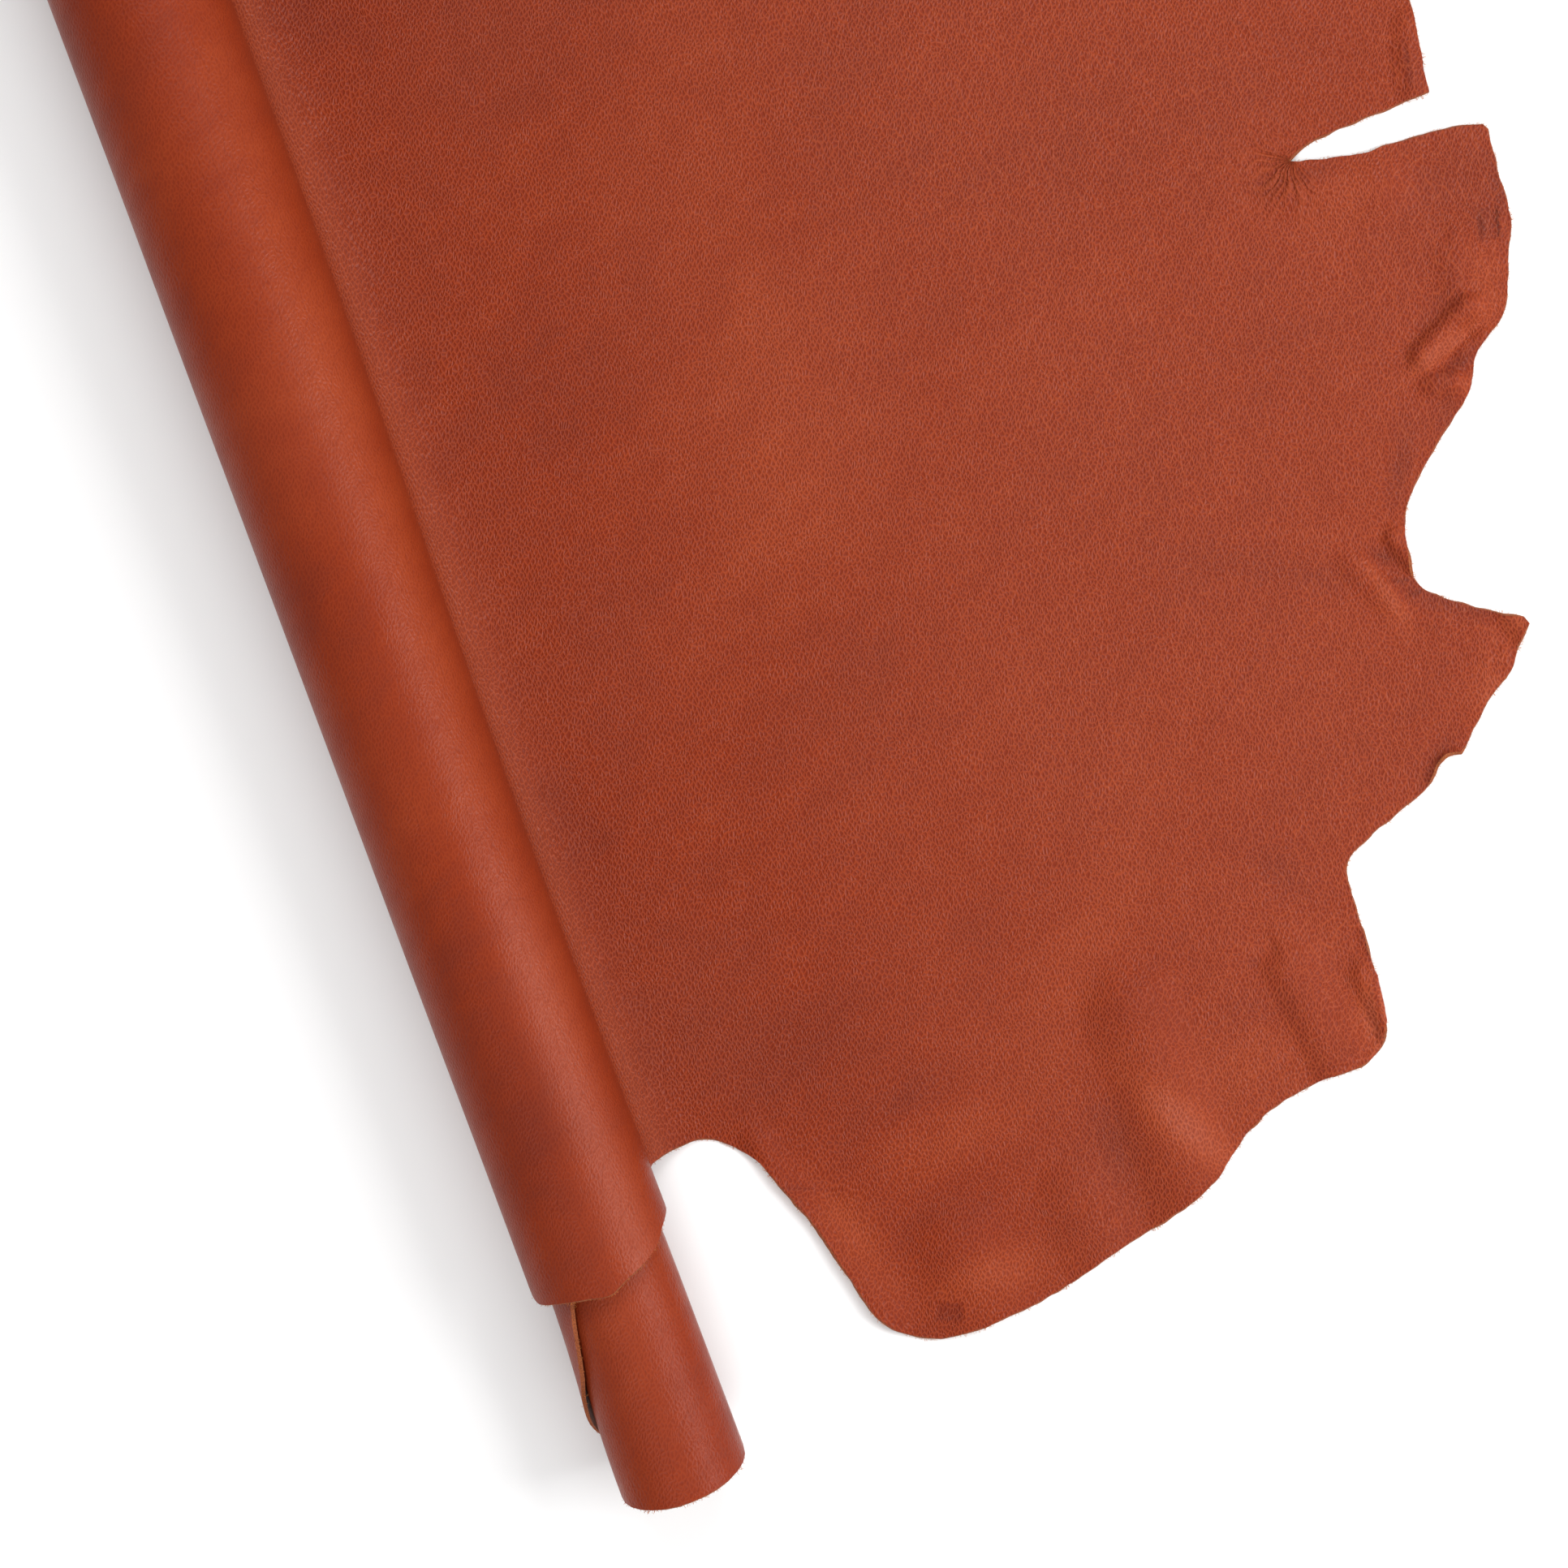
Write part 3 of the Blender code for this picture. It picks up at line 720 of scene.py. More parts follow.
def pattern():
    """The whole cut pattern: its points as (along, y), each one's turn and belly edge, its faces, and
    the points along its flat part's edge, its belly and its backbone."""
    along, y, turns, belly = rolled_grid()
    foot = np.column_stack([along[0], y[0]])
    flat, triangles, ring = flat_part(foot)
    grid = np.arange(along.size).reshape(along.shape)
    outward, inward = grid[:-1], grid[1:]
    corners = (inward[:, :-1], outward[:, :-1], outward[:, 1:], inward[:, 1:])
    quads = np.stack([c.ravel() for c in corners], axis=1)
    shift = along.size - ROW_COUNT
    number = np.concatenate([np.arange(ROW_COUNT), np.arange(ROW_COUNT, len(flat)) + shift])
    points = np.vstack([np.column_stack([along.ravel(), y.ravel()]), flat[ROW_COUNT:]])
    rest = len(points) - along.size
    turns = np.concatenate([turns.ravel(), np.full(rest, -1.0)])
    belly = np.concatenate([belly.ravel(), np.full(rest, belly[0, 0])])
    faces = quads.tolist() + number[triangles].tolist()
    edges = {
        "flat": number[ring[: len(ring) - ROW_COUNT]],
        "belly": grid[:, 0],
        "backbone": grid[:, -1],
    }
    return points, turns, belly, faces, edges


def dye_and_painted_light(points):
    """How much darker (above 0) or lighter the grain is coloured, in soft patches, creases and clamp
    marks: the dye's own tones and the clamps' marks, together with painted highlights and painted shade.
    """
    dye_and_light = np.zeros(len(points))
    for x, y, half_long, half_wide, degrees, strength in DYE_AND_LIGHT_PATCHES:
        along, across = turned(points, x, y, degrees)
        dye_and_light += strength * np.exp(-((along / half_long) ** 2 + (across / half_wide) ** 2))
    for row in CREASES:
        away, tail = beside_crease(points, row)
        # Darker along a crease: dye gathered there and painted shade; below 0, a painted highlight.
        dye_and_light += row[6] * np.clip(1 - 2 * away, 0, 1) * tail
    for mark in CLAMP_MARKS:
        dye_and_light += mark[5] * eased(0.5 - beside_mark(points, mark) / CLAMP_EDGE)
    return dye_and_light


def painted_sheen(points):
    """How strongly the painted sheen lies: most along each line, and fading to its sides."""
    share = np.zeros(len(points))
    for x, half_wide, top, strength in PAINTED_SHEEN_LINES:
        below = eased((top - points[:, 1]) / PAINTED_SHEEN_FADE)
        share = np.maximum(share, strength * below * np.exp(-(((points[:, 0] - x) / half_wide) ** 2)))
    return share


LEAST_LOOSE = 0.15
LOOSE_X = (-60.0, 270.0)
LOOSE_WAVE = 0.25
LOOSE_WAVE_LENGTH = 160.0


def looseness(points):
    """How loose the leather is, for the net of ridges and for the belly's drier dye with its painted
    sheen: least by the roll, and 1 in the tail and the flank."""
    across = LEAST_LOOSE + (1 - LEAST_LOOSE) * ramp(points[:, 0], *LOOSE_X)
    return np.clip(across + LOOSE_WAVE * waves(points, LOOSE_WAVE_LENGTH, seed=31), 0, 1)


def new_object(name, mesh):
    obj = bpy.data.objects.new(name, mesh)
    bpy.context.scene.collection.objects.link(obj)
    return obj


def applied(obj):
    """A plain mesh object of what an object's modifiers make, in its place."""
    graph = bpy.context.evaluated_depsgraph_get()
    mesh = bpy.data.meshes.new_from_object(obj.evaluated_get(graph))
    name = obj.name
    old = obj.data
    bpy.data.objects.remove(obj, do_unlink=True)
    bpy.data.meshes.remove(old)
    mesh.name = name
    return new_object(name, mesh)


def points_of(mesh):
    """Places of a mesh's vertices."""
    places = np.empty(len(mesh.vertices) * 3, np.float32)
    mesh.vertices.foreach_get("co", places)
    return places.reshape(-1, 3)


def store(mesh, name, values):
    """Gives a mesh a value at each vertex."""
    mesh.attributes.new(name, "FLOAT", "POINT").data.foreach_set("value", values.astype(np.float32))


# The knife leans outwards, so that the flesh side reaches further than the grain by this much.
CUT_SLANT = 0.9
CUT_SLANT_SPREAD = 0.35
CUT_SLANT_LENGTH = 14.0
SHARP_EDGE = math.radians(60)


def slant_cut(mesh, points, edges):
    """Moves the flesh side's edge outwards, unevenly, so that the raw cut faces up a little."""
    ring = np.concatenate([edges["belly"][::-1][:-1], edges["flat"]])
    chain = points[ring]
    ahead = np.vstack([chain[1:], chain[-1:]]) - np.vstack([chain[:1], chain[:-1]])
    _, out = off_the_cut(chain, ahead)
    uneven = 1 + CUT_SLANT_SPREAD * waves(chain, CUT_SLANT_LENGTH, seed=51)
    places = points_of(mesh)
    places[ring + len(points)] += out * (CUT_SLANT * uneven * MM)[:, None]
    mesh.vertices.foreach_set("co", places.ravel())


def build_hide(leather):
    """The sheet: its pattern, placed on its middle surface and given its thickness."""
    points, turns, belly, faces, edges = pattern()
    placed = to_model(place(points[:, 0], points[:, 1], turns, belly))
    mesh = bpy.data.meshes.new("Leather_hide")
    mesh.from_pydata(placed.tolist(), [], faces)
    uv = mesh.uv_layers.new(name=PATTERN_MAP)
    corner = np.zeros(len(mesh.loops), np.int32)
    mesh.loops.foreach_get("vertex_index", corner)
    uv.uv.foreach_set("vector", (points[corner] * MM).astype(np.float32).ravel())
    on_bench = points + (FOOT_X, 0.0)
    # The Dye attribute holds the dye's tones together with painted highlights and painted shade.
    store(mesh, "Dye", dye_and_painted_light(on_bench))
    store(mesh, "Looseness", looseness(on_bench))
    store(mesh, "Rubbed", painted_sheen(on_bench))
    mesh.materials.append(new_material("Milled aniline cowhide", grain_surface))
    mesh.materials.append(new_material("Split suede flesh side", flesh_surface))
    mesh.materials.append(new_material("Raw cut edge", cut_surface))
    hide = new_object("Leather_hide", mesh)
    body = hide.modifiers.new("Leather thickness", "SOLIDIFY")
    body.thickness = leather
    body.offset = 0.0
    body.material_offset = 1
    body.material_offset_rim = 2
    hide = applied(hide)
    slant_cut(hide.data, points, edges)
    hide.data.shade_smooth()
    hide.data.set_sharp_from_angle(angle=SHARP_EDGE)
    return hide


# ---- materials

MATH = "ShaderNodeMath"
VECTOR = "ShaderNodeVectorMath"
MIX = "ShaderNodeMix"
RANGE = "ShaderNodeMapRange"
NOISE = "ShaderNodeTexNoise"
MAPPING = "ShaderNodeMapping"
BUMP = "ShaderNodeBump"


def add_node(tree, kind, *values, named=(), **settings):
    """Adds a node with its settings. values feed its inputs in order, and named feeds them by name:
    each is a value, an output, or a node whose first output is meant."""
    node = tree.nodes.new(kind)
    for name, value in settings.items():
        setattr(node, name, value)
    sockets = [socket for socket in node.inputs if socket.enabled]
    by_name = {socket.name: socket for socket in reversed(sockets)}
    feeds = [*zip(sockets, values), *((by_name[name], value) for name, value in dict(named).items())]
    for socket, value in feeds:
        if isinstance(value, bpy.types.Node):
            value = next(output for output in value.outputs if output.enabled)
        if isinstance(value, bpy.types.NodeSocket):
            tree.links.new(value, socket)
        else:
            socket.default_value = value
    return node


def new_material(name, surface):
    """A material of one surface, a function that adds its nodes with the function that it is given
    and returns what feeds the shader."""
    material = bpy.data.materials.new(name)
    material.use_nodes = True
    material.node_tree.nodes.clear()
    add = partial(add_node, material.node_tree)
    shader = add("ShaderNodeBsdfPrincipled", named=surface(add))
    add("ShaderNodeOutputMaterial", shader)
    return material


def pattern_mm(add):
    """The place on the unrolled sheet, in millimetres."""
    flat = add("ShaderNodeUVMap", uv_map=PATTERN_MAP)
    return add(VECTOR, flat, named={"Scale": 1 / MM}, operation="SCALE")


def turned_place(add, place_mm, size, degrees):
    """A place measured in steps of a size along x and y, turned."""
    sizes = {"Rotation": (0, 0, math.radians(degrees)), "Scale": (*size, 1.0)}
    return add(MAPPING, place_mm, named=sizes, vector_type="TEXTURE")


def clouds(add, place_mm, size, degrees=0.0, detail=2.0, roughness=0.5):
    """Soft uneven patches from 0 to 1, about size millimetres along x and y before turning."""
    at = turned_place(add, place_mm, size, degrees)
    shape = {"Scale": 1.0, "Detail": detail, "Roughness": roughness}
    return add(NOISE, at, named=shape, noise_dimensions="2D")


def warped(add, place_mm, size, amount):
    """Places moved unevenly by up to about an amount, so that a pattern wanders."""
    field = clouds(add, place_mm, (size, size), detail=0.0).outputs["Color"]
    moved = add(VECTOR, field, (2 * amount,) * 3, place_mm, operation="MULTIPLY_ADD")
    return add(VECTOR, moved, (amount,) * 3, operation="SUBTRACT")


def lozenges(add, place_mm, size):
    """A net of lozenges about size millimetres big: how far inside one a place is, 0 on the net."""
    at = turned_place(add, place_mm, size, GRAIN_LEAN)
    at = add(MAPPING, at, named={"Rotation": (0, 0, math.pi / 4), "Scale": (DIAGONAL,) * 3})
    cells = {"voronoi_dimensions": "2D", "feature": "DISTANCE_TO_EDGE"}
    return add("ShaderNodeTexVoronoi", at, named={"Scale": 1.0, "Randomness": UNEVEN_CELLS}, **cells)


def fan_wrinkles(add, place_mm):
    """Fine wrinkles that fan out from the tip of the slit: 1 along each one, and 0 between them."""
    centre = (WRINKLE_CENTRE[0] - FOOT_X, WRINKLE_CENTRE[1], 0.0)
    heading = (math.cos(WRINKLE_HEADING), math.sin(WRINKLE_HEADING), 0.0)
    offset = add(VECTOR, place_mm, centre, operation="SUBTRACT")
    parts = add("ShaderNodeSeparateXYZ", offset).outputs
    angle = add(MATH, parts["Y"], parts["X"], operation="ARCTAN2")
    away = add(VECTOR, offset, operation="LENGTH")
    wander = add(NOISE, place_mm, named={"Scale": FINE_WANDER_SCALE, "Detail": 0.0}, noise_dimensions="2D")
    turns = add(MATH, wander, FINE_WANDER, operation="MULTIPLY")
    turns = add(MATH, angle, FINE_WRINKLES, turns, operation="MULTIPLY_ADD")
    lines = add(MATH, turns, operation="SINE")
    lines = add(RANGE, lines, *FINE_LINES)
    near = add(RANGE, away, WRINKLE_START, FINE_REACH, 1.0, 0.0, interpolation_type="SMOOTHSTEP")
    lines = add(MATH, lines, near, operation="MULTIPLY")
    ahead = add(VECTOR, offset, heading, operation="DOT_PRODUCT")
    ahead = add(MATH, ahead, away, operation="DIVIDE")
    ahead = add(RANGE, ahead, *FINE_AHEAD)
    return add(MATH, lines, ahead, operation="MULTIPLY")


# How the grain's pattern wanders, widely and pebble by pebble: over what length, and how far.
WANDER = (24.0, 2.2)
CLOSE_WANDER = (4.0, 0.7)
# Direction of the drawn-out grain against the backbone, in degrees, and its pebbles' size and relief
# in millimetres. The net is the wider one of the loose belly.
GRAIN_LEAN = -20.0
GRAIN_SIZE = (2.9, 5.0)
GRAIN_HEIGHT = 0.36
RIDGE_HEIGHT = 0.06
NET_SIZE = (9.0, 30.0)
DIAGONAL = 1.41
UNEVEN_CELLS = 0.65
# How far into a pebble its hollow, its ridge and the net's thread reach, as a share of its size, and
# how strong its ridge is beside the thread.
HOLLOW_EDGE = 0.45
RIDGE_EDGE = 0.16
PEBBLE_RIDGE = 0.7
NET_EDGE = 0.06
# The same net, where the roll pulls it open into fine creases, darkened by dye gathered there and
# by painted shade.
CRACK_DEPTH = 0.3
CRACK_DYE_AND_SHADE = 0.4
# Fine wrinkles round the slit's tip: how many to a whole turn, their height and reach, how far they
# wander, how much of a wave is one, and how they weaken from straight ahead to the sides.
FINE_WRINKLES = 24.0
FINE_HEIGHT = 0.7
FINE_LINES = (-0.8, 1.0)
FINE_AHEAD = (-0.2, 0.6, 0.2, 1.0)
FINE_REACH = WRINKLE_REACH * 1.5
FINE_WANDER = 16.0
FINE_WANDER_SCALE = 0.06
# What is left of the relief where the roll pulls the grain tight, and how far that takes to come.
ROLLED_GRAIN = 0.4
ROLLED_FROM = (-100.0, -68.0)
# Soft clouds of the dye and its smaller mottle: size along x and y, and degrees.
WIDE_CLOUDS = ((150.0, 105.0), 35.0)
MOTTLE = ((34.0, 20.0), 25.0)
# Shares of the colour's unevenness: clouds, mottle, the belly's drier dye with painted sheen, hollows
# darkened by dye and painted shade, and ridges lightened by wear and painted highlights.
WIDE_TONE = 0.5
MOTTLE_TONE = 0.35
BELLY_TONE_AND_SHEEN = 0.35
HOLLOW_DYE_AND_SHADE = 0.5
RIDGE_WEAR_AND_HIGHLIGHT = 0.32
# Values of the dye and painted light between which the painted highlight colour and the pressed colour
# come, and how much of them. The pressed colour is a clamp's bite and also the deepest painted shade.
PAINTED_HIGHLIGHT_DEPTHS = (-0.7, -1.7, 0.0, 0.8)
PRESSED_AND_SHADE_DEPTHS = (1.1, 2.3, 0.0, 0.7)
# The mottle between which the roughness changes, the roughness, and the weak sheen of the wax.
GLOSS = (0.3, 0.7, 0.32, 0.40)
WAX_SHEEN = 0.11
# The flesh side: size and lean of its nap, size of its clouds, and how much each one shades it.
NAP = ((1.1, 1.8), 70.0)
SUEDE_CLOUDS = (45.0, 60.0)
SUEDE_TONE = 0.8
NAP_TONE = 0.6
# Fibres of the torn cut to a millimetre, and the relief of the nap and of the cut, in metres.
TORN_FINE = 1.6
NAP_DEPTH = 0.0005


def grain_surface(add):
    """Full-grain cowhide, drum-dyed with aniline and milled. Milling breaks the grain into soft
    pebbles, and draws them out into a wider net of thin ridges on the loose belly. The dye lies
    unevenly, from orange to burgundy brown, and a thin wax finish gives a weak sheen. Painted light
    lies in the colour too: painted highlights and a painted sheen on ridges, fold crests and lines of
    the roll, and painted shade in the hollows and beside folds."""
    colours = bpy.context.scene.hide_colours
    place_mm = pattern_mm(add)
    loose, dye_and_light, sheen_lines = (
        add("ShaderNodeAttribute", attribute_name=name).outputs["Fac"]
        for name in ("Looseness", "Dye", "Rubbed")
    )

    wandering = warped(add, place_mm, *WANDER)
    close = warped(add, wandering, *CLOSE_WANDER)
    grain = lozenges(add, close, GRAIN_SIZE)
    soft = add(RANGE, grain, 0.0, HOLLOW_EDGE, 1.0, 0.0, interpolation_type="SMOOTHSTEP")
    ridge = add(RANGE, grain, 0.0, RIDGE_EDGE, PEBBLE_RIDGE, 0.0)
    net = add(RANGE, lozenges(add, wandering, NET_SIZE), 0.0, NET_EDGE, 1.0, 0.0)
    thread = add(MATH, net, loose, operation="MULTIPLY")
    ridge = add(MATH, thread, ridge, operation="MAXIMUM")
    fan = fan_wrinkles(add, place_mm)
    ridge = add(MATH, fan, ridge, operation="MAXIMUM")

    along = add("ShaderNodeSeparateXYZ", place_mm).outputs["X"]
    slack = add(RANGE, along, *ROLLED_FROM, ROLLED_GRAIN, 1.0)
    taut = add(MATH, 1.0, slack, operation="SUBTRACT")
    ridge = add(MATH, ridge, slack, operation="MULTIPLY")
    crack = add(MATH, net, taut, operation="MULTIPLY")
    relief = add(MATH, soft, GRAIN_HEIGHT, operation="MULTIPLY")
    for raised, height in ((ridge, RIDGE_HEIGHT), (fan, FINE_HEIGHT), (crack, -CRACK_DEPTH)):
        relief = add(MATH, raised, height, relief, operation="MULTIPLY_ADD")
    bump = add(BUMP, named={"Strength": slack, "Distance": MM, "Height": relief})

    wide = clouds(add, place_mm, *WIDE_CLOUDS, detail=3.0)
    mottle = clouds(add, place_mm, *MOTTLE, roughness=0.6)
    tone = 0.5 - (WIDE_TONE + MOTTLE_TONE) / 2
    # The clouds and mottle are the dye's own tones. The attribute adds painted highlights and painted shade
    # to them.
    for cloud, share in ((wide, WIDE_TONE), (mottle, MOTTLE_TONE), (dye_and_light, 0.5)):
        tone = add(MATH, cloud, share, tone, operation="MULTIPLY_ADD")
    # Towards the tail and flank: drier dye of the loose belly, and painted sheen.
    dry_dye_and_sheen = add(MATH, loose, BELLY_TONE_AND_SHEEN, operation="MULTIPLY")
    # Painted highlight: the paler, pinker colour where the patches run lightest and along the painted sheen
    # lines.
    pale = add(RANGE, dye_and_light, *PAINTED_HIGHLIGHT_DEPTHS)
    pale = add(MATH, pale, sheen_lines, operation="MAXIMUM")
    # Hollows of the grain and cracks on the roll are darkened: dye gathered there and painted shade.
    hollow_dye_and_shade = add(MATH, soft, -HOLLOW_DYE_AND_SHADE, HOLLOW_DYE_AND_SHADE, operation="MULTIPLY_ADD")
    hollow_dye_and_shade = add(MATH, hollow_dye_and_shade, slack, operation="MULTIPLY")
    hollow_dye_and_shade = add(MATH, crack, CRACK_DYE_AND_SHADE, hollow_dye_and_shade, operation="MULTIPLY_ADD")
    # Ridges, net threads and the fan's wrinkles are lightened: worn dye and painted highlights on their
    # crests.
    wear_and_highlight = add(MATH, ridge, RIDGE_WEAR_AND_HIGHLIGHT, operation="MULTIPLY")
    dyed = colours.middle
    layers = (
        # Deep and light colours: the dye's own tones, plus the painted shade and painted highlights of the
        # patches.
        (add(RANGE, tone, 0.5, 1.0), colours.deep_dye_and_shade),
        (add(RANGE, tone, 0.5, 0.0), colours.light),
        (dry_dye_and_sheen, colours.belly),
        (pale, colours.painted_sheen),
        (hollow_dye_and_shade, colours.crease),
        (wear_and_highlight, colours.wear_and_highlight),
        # Darkest colour: clamp bites, and the deepest painted shade, such as the nick's shadow and the
        # groove along the lobe's edge.
        (add(RANGE, dye_and_light, *PRESSED_AND_SHADE_DEPTHS), colours.pressed_and_deep_shade),
    )
    for share, colour in layers:
        dyed = add(MIX, share, dyed, colour, data_type="RGBA")
    gloss = add(RANGE, mottle, *GLOSS)
    return {"Base Color": dyed, "Roughness": gloss, "Normal": bump, "Specular IOR Level": WAX_SHEEN}


def flesh_surface(add):
    """The flesh side: split with a knife and left as matt brown suede, with a short soft nap."""
    colours = bpy.context.scene.hide_colours
    place_mm = pattern_mm(add)
    nap = clouds(add, place_mm, *NAP, detail=3.0, roughness=0.7)
    broad = clouds(add, place_mm, SUEDE_CLOUDS, detail=3.0)
    share = add(MATH, broad, SUEDE_TONE, -SUEDE_TONE / 2, operation="MULTIPLY_ADD")
    share = add(MATH, nap, NAP_TONE, share, operation="MULTIPLY_ADD")
    napped = add(MIX, share, colours.flesh, colours.flesh_deep, data_type="RGBA")
    bump = add(BUMP, named={"Height": nap, "Strength": 0.6, "Distance": NAP_DEPTH})
    soft = {"Roughness": 0.92, "Sheen Weight": 0.25, "Sheen Roughness": 0.5}
    return {"Base Color": napped, "Normal": bump, **soft}


def cut_surface(add):
    """The raw cut edge: fibres of the corium, torn by the knife, drier and more orange than the grain."""
    colours = bpy.context.scene.hide_colours
    place_m = add("ShaderNodeTexCoord").outputs["Object"]
    torn = add(NOISE, place_m, named={"Scale": TORN_FINE / MM, "Detail": 2.0, "Roughness": 0.7})
    share = add(RANGE, torn, 0.3, 0.7)
    shade = add(MIX, share, colours.edge_deep, colours.edge, data_type="RGBA")
    bump = add(BUMP, named={"Height": torn, "Strength": 0.8, "Distance": NAP_DEPTH})
    return {"Base Color": shade, "Roughness": 0.9, "Normal": bump}


def fibre_surface(add):
    """Loose collagen fibres along the cut, dyed through, pale orange brown where light comes through."""
    return {"Base Color": bpy.context.scene.hide_colours.fibre, "Roughness": 0.85}


def floor_surface(add):
    """Matt white paint, so that the studio floor stays plain and soft."""
    paint = bpy.context.scene.hide_studio.floor
    return {"Base Color": paint, "Roughness": 0.9, "Specular IOR Level": 0.2}


# ---- fibres along the cut

# Length and strength of the fibres' clumps, the wider spacing on the turns that don't show, and the
# length of the rolled sheet whose cut shows.
CLUMP_LENGTH = 24.0
CLUMPING = 0.3
INNER_SPACING = 3.0
FUZZY_LENGTH = 780.0
# The shortest clump and the shortest fibre, as shares of the longest.
LEAST_CLUMP = 0.12
LEAST_FIBRE = 0.35
# Where a fibre stands: how far off the middle of the cut, as a share of the leather, and how deep.
OFF_MIDDLE = 0.4
ROOT_DEPTH = 0.3
HEADING_REACH = 1.5
# Where a fibre bends, and how much thinner its tip is.
FIBRE_BOW = 0.55
FIBRE_TAPER = 0.75


def turn_at(along):
    """The turn at each distance along the sheet, 0 and over on the flat part."""
    turns = columns()
    return np.interp(-along, distances(turns), turns)


def cut_chain():
    """The cut edge from the inner end of the roll round to the backbone's corner."""
    turns = columns()[::-1]
    belly = np.column_stack([-distances(turns), belly_y(turns)])
    flat = flat_outline()
    return np.vstack([belly, flat[flat[:, 1] < BACKBONE_Y - 1]])


def off_the_cut(points, heading):
    """Where points of the cut lie on the hide, and the directions out of the cut there. heading runs
    along the cut with the leather on its left."""
    roots, tips = (
        place(at[:, 0], at[:, 1], turn_at(at[:, 0]), belly_y(turn_at(at[:, 0])))
        for at in (points, points + right_of(heading))
    )
    return roots, unit(tips - roots)


def fibre_roots(spacing):
    """Where fibres stand: points, directions out of the cut, and each one's share of the length."""
    chance = np.random.default_rng(41)
    chain = cut_chain()
    run = np.concatenate([[0.0], np.cumsum(np.linalg.norm(np.diff(chain, axis=0), axis=1))])
    hidden = run[np.searchsorted(chain[:, 0], -FUZZY_LENGTH)]
    at = np.concatenate([np.arange(0, hidden, INNER_SPACING), np.arange(hidden, run[-1], spacing)])
    at = np.clip(at + chance.uniform(-0.5, 0.5, len(at)) * spacing, 0, run[-1])
    points, ahead, behind = (
        np.column_stack([np.interp(at + shift, run, chain[:, i]) for i in (0, 1)])
        for shift in (0, HEADING_REACH, -HEADING_REACH)
    )
    roots, out = off_the_cut(points, ahead - behind)
    over = unit(np.cross(np.column_stack([ahead - behind, np.zeros(len(at))]), out))
    aside = chance.uniform(-OFF_MIDDLE, OFF_MIDDLE, len(at))[:, None] * LEATHER
    roots = roots + over * aside - out * ROOT_DEPTH
    clump = 1 - CLUMPING + CLUMPING * waves(np.column_stack([at, at * 0]), CLUMP_LENGTH, seed=43)
    return roots, out, np.clip(clump, LEAST_CLUMP, 1.0) * chance.uniform(LEAST_FIBRE, 1.0, len(at))


def fibre_tree():
    """Geometry Nodes: a curved, tapered fibre on each root, turned a little at random."""
    tree = bpy.data.node_groups.new("Fibres along a cut", "GeometryNodeTree")
    sockets = {
        "Geometry": ("Roots",),
        "Float": ("Length", "Radius", "Curl", "Spread"),
        "Int": ("Seed",),
        "Material": ("Material",),
    }
    for kind, names in sockets.items():
        for name in names:
            tree.interface.new_socket(name, in_out="INPUT", socket_type="NodeSocket" + kind)
    tree.interface.new_socket("Fibres", in_out="OUTPUT", socket_type="NodeSocketGeometry")
    add = partial(add_node, tree)
    given = add("NodeGroupInput").outputs

    aside = add(MATH, given["Length"], given["Curl"], operation="MULTIPLY")
    half = add(MATH, given["Length"], FIBRE_BOW, operation="MULTIPLY")
    bow = add("ShaderNodeCombineXYZ", named={"Z": half})
    tip = add("ShaderNodeCombineXYZ", aside, named={"Z": given["Length"]})
    line = add("GeometryNodeCurveQuadraticBezier", 3, (0, 0, 0), bow, tip)
    part = add("GeometryNodeSplineParameter").outputs["Factor"]
    taper = add(MATH, part, -FIBRE_TAPER, 1.0, operation="MULTIPLY_ADD")
    line = add("GeometryNodeSetCurveRadius", line, named={"Radius": taper})
    ring = {"Resolution": 3, "Radius": given["Radius"]}
    ring = add("GeometryNodeCurvePrimitiveCircle", named=ring)
    shape = {"Curve": line, "Profile Curve": ring, "Fill Caps": True}
    fibre = add("GeometryNodeCurveToMesh", named=shape)

    out, share = (
        add("GeometryNodeInputNamedAttribute", named={"Name": name}, data_type=kind)
        for name, kind in (("Outward", "FLOAT_VECTOR"), ("Share", "FLOAT"))
    )
    aimed = add("FunctionNodeAlignRotationToVector", named={"Vector": out}, axis="Z")
    less = add(MATH, given["Spread"], -1.0, operation="MULTIPLY")
    low = add("ShaderNodeCombineXYZ", less, less, -math.pi)
    high = add("ShaderNodeCombineXYZ", given["Spread"], given["Spread"], math.pi)
    tilts = {"Min": low, "Max": high, "Seed": given["Seed"]}
    tilt = add("FunctionNodeRandomValue", named=tilts, data_type="FLOAT_VECTOR")
    tilted = add("FunctionNodeRotateRotation", aimed, tilt, rotation_space="LOCAL")
    stood = {"Points": given["Roots"], "Instance": fibre, "Rotation": tilted, "Scale": share}
    stood = add("GeometryNodeInstanceOnPoints", named=stood)
    real = add("GeometryNodeRealizeInstances", stood)
    add("NodeGroupOutput", add("GeometryNodeSetMaterial", real, named={"Material": given["Material"]}))
    return tree


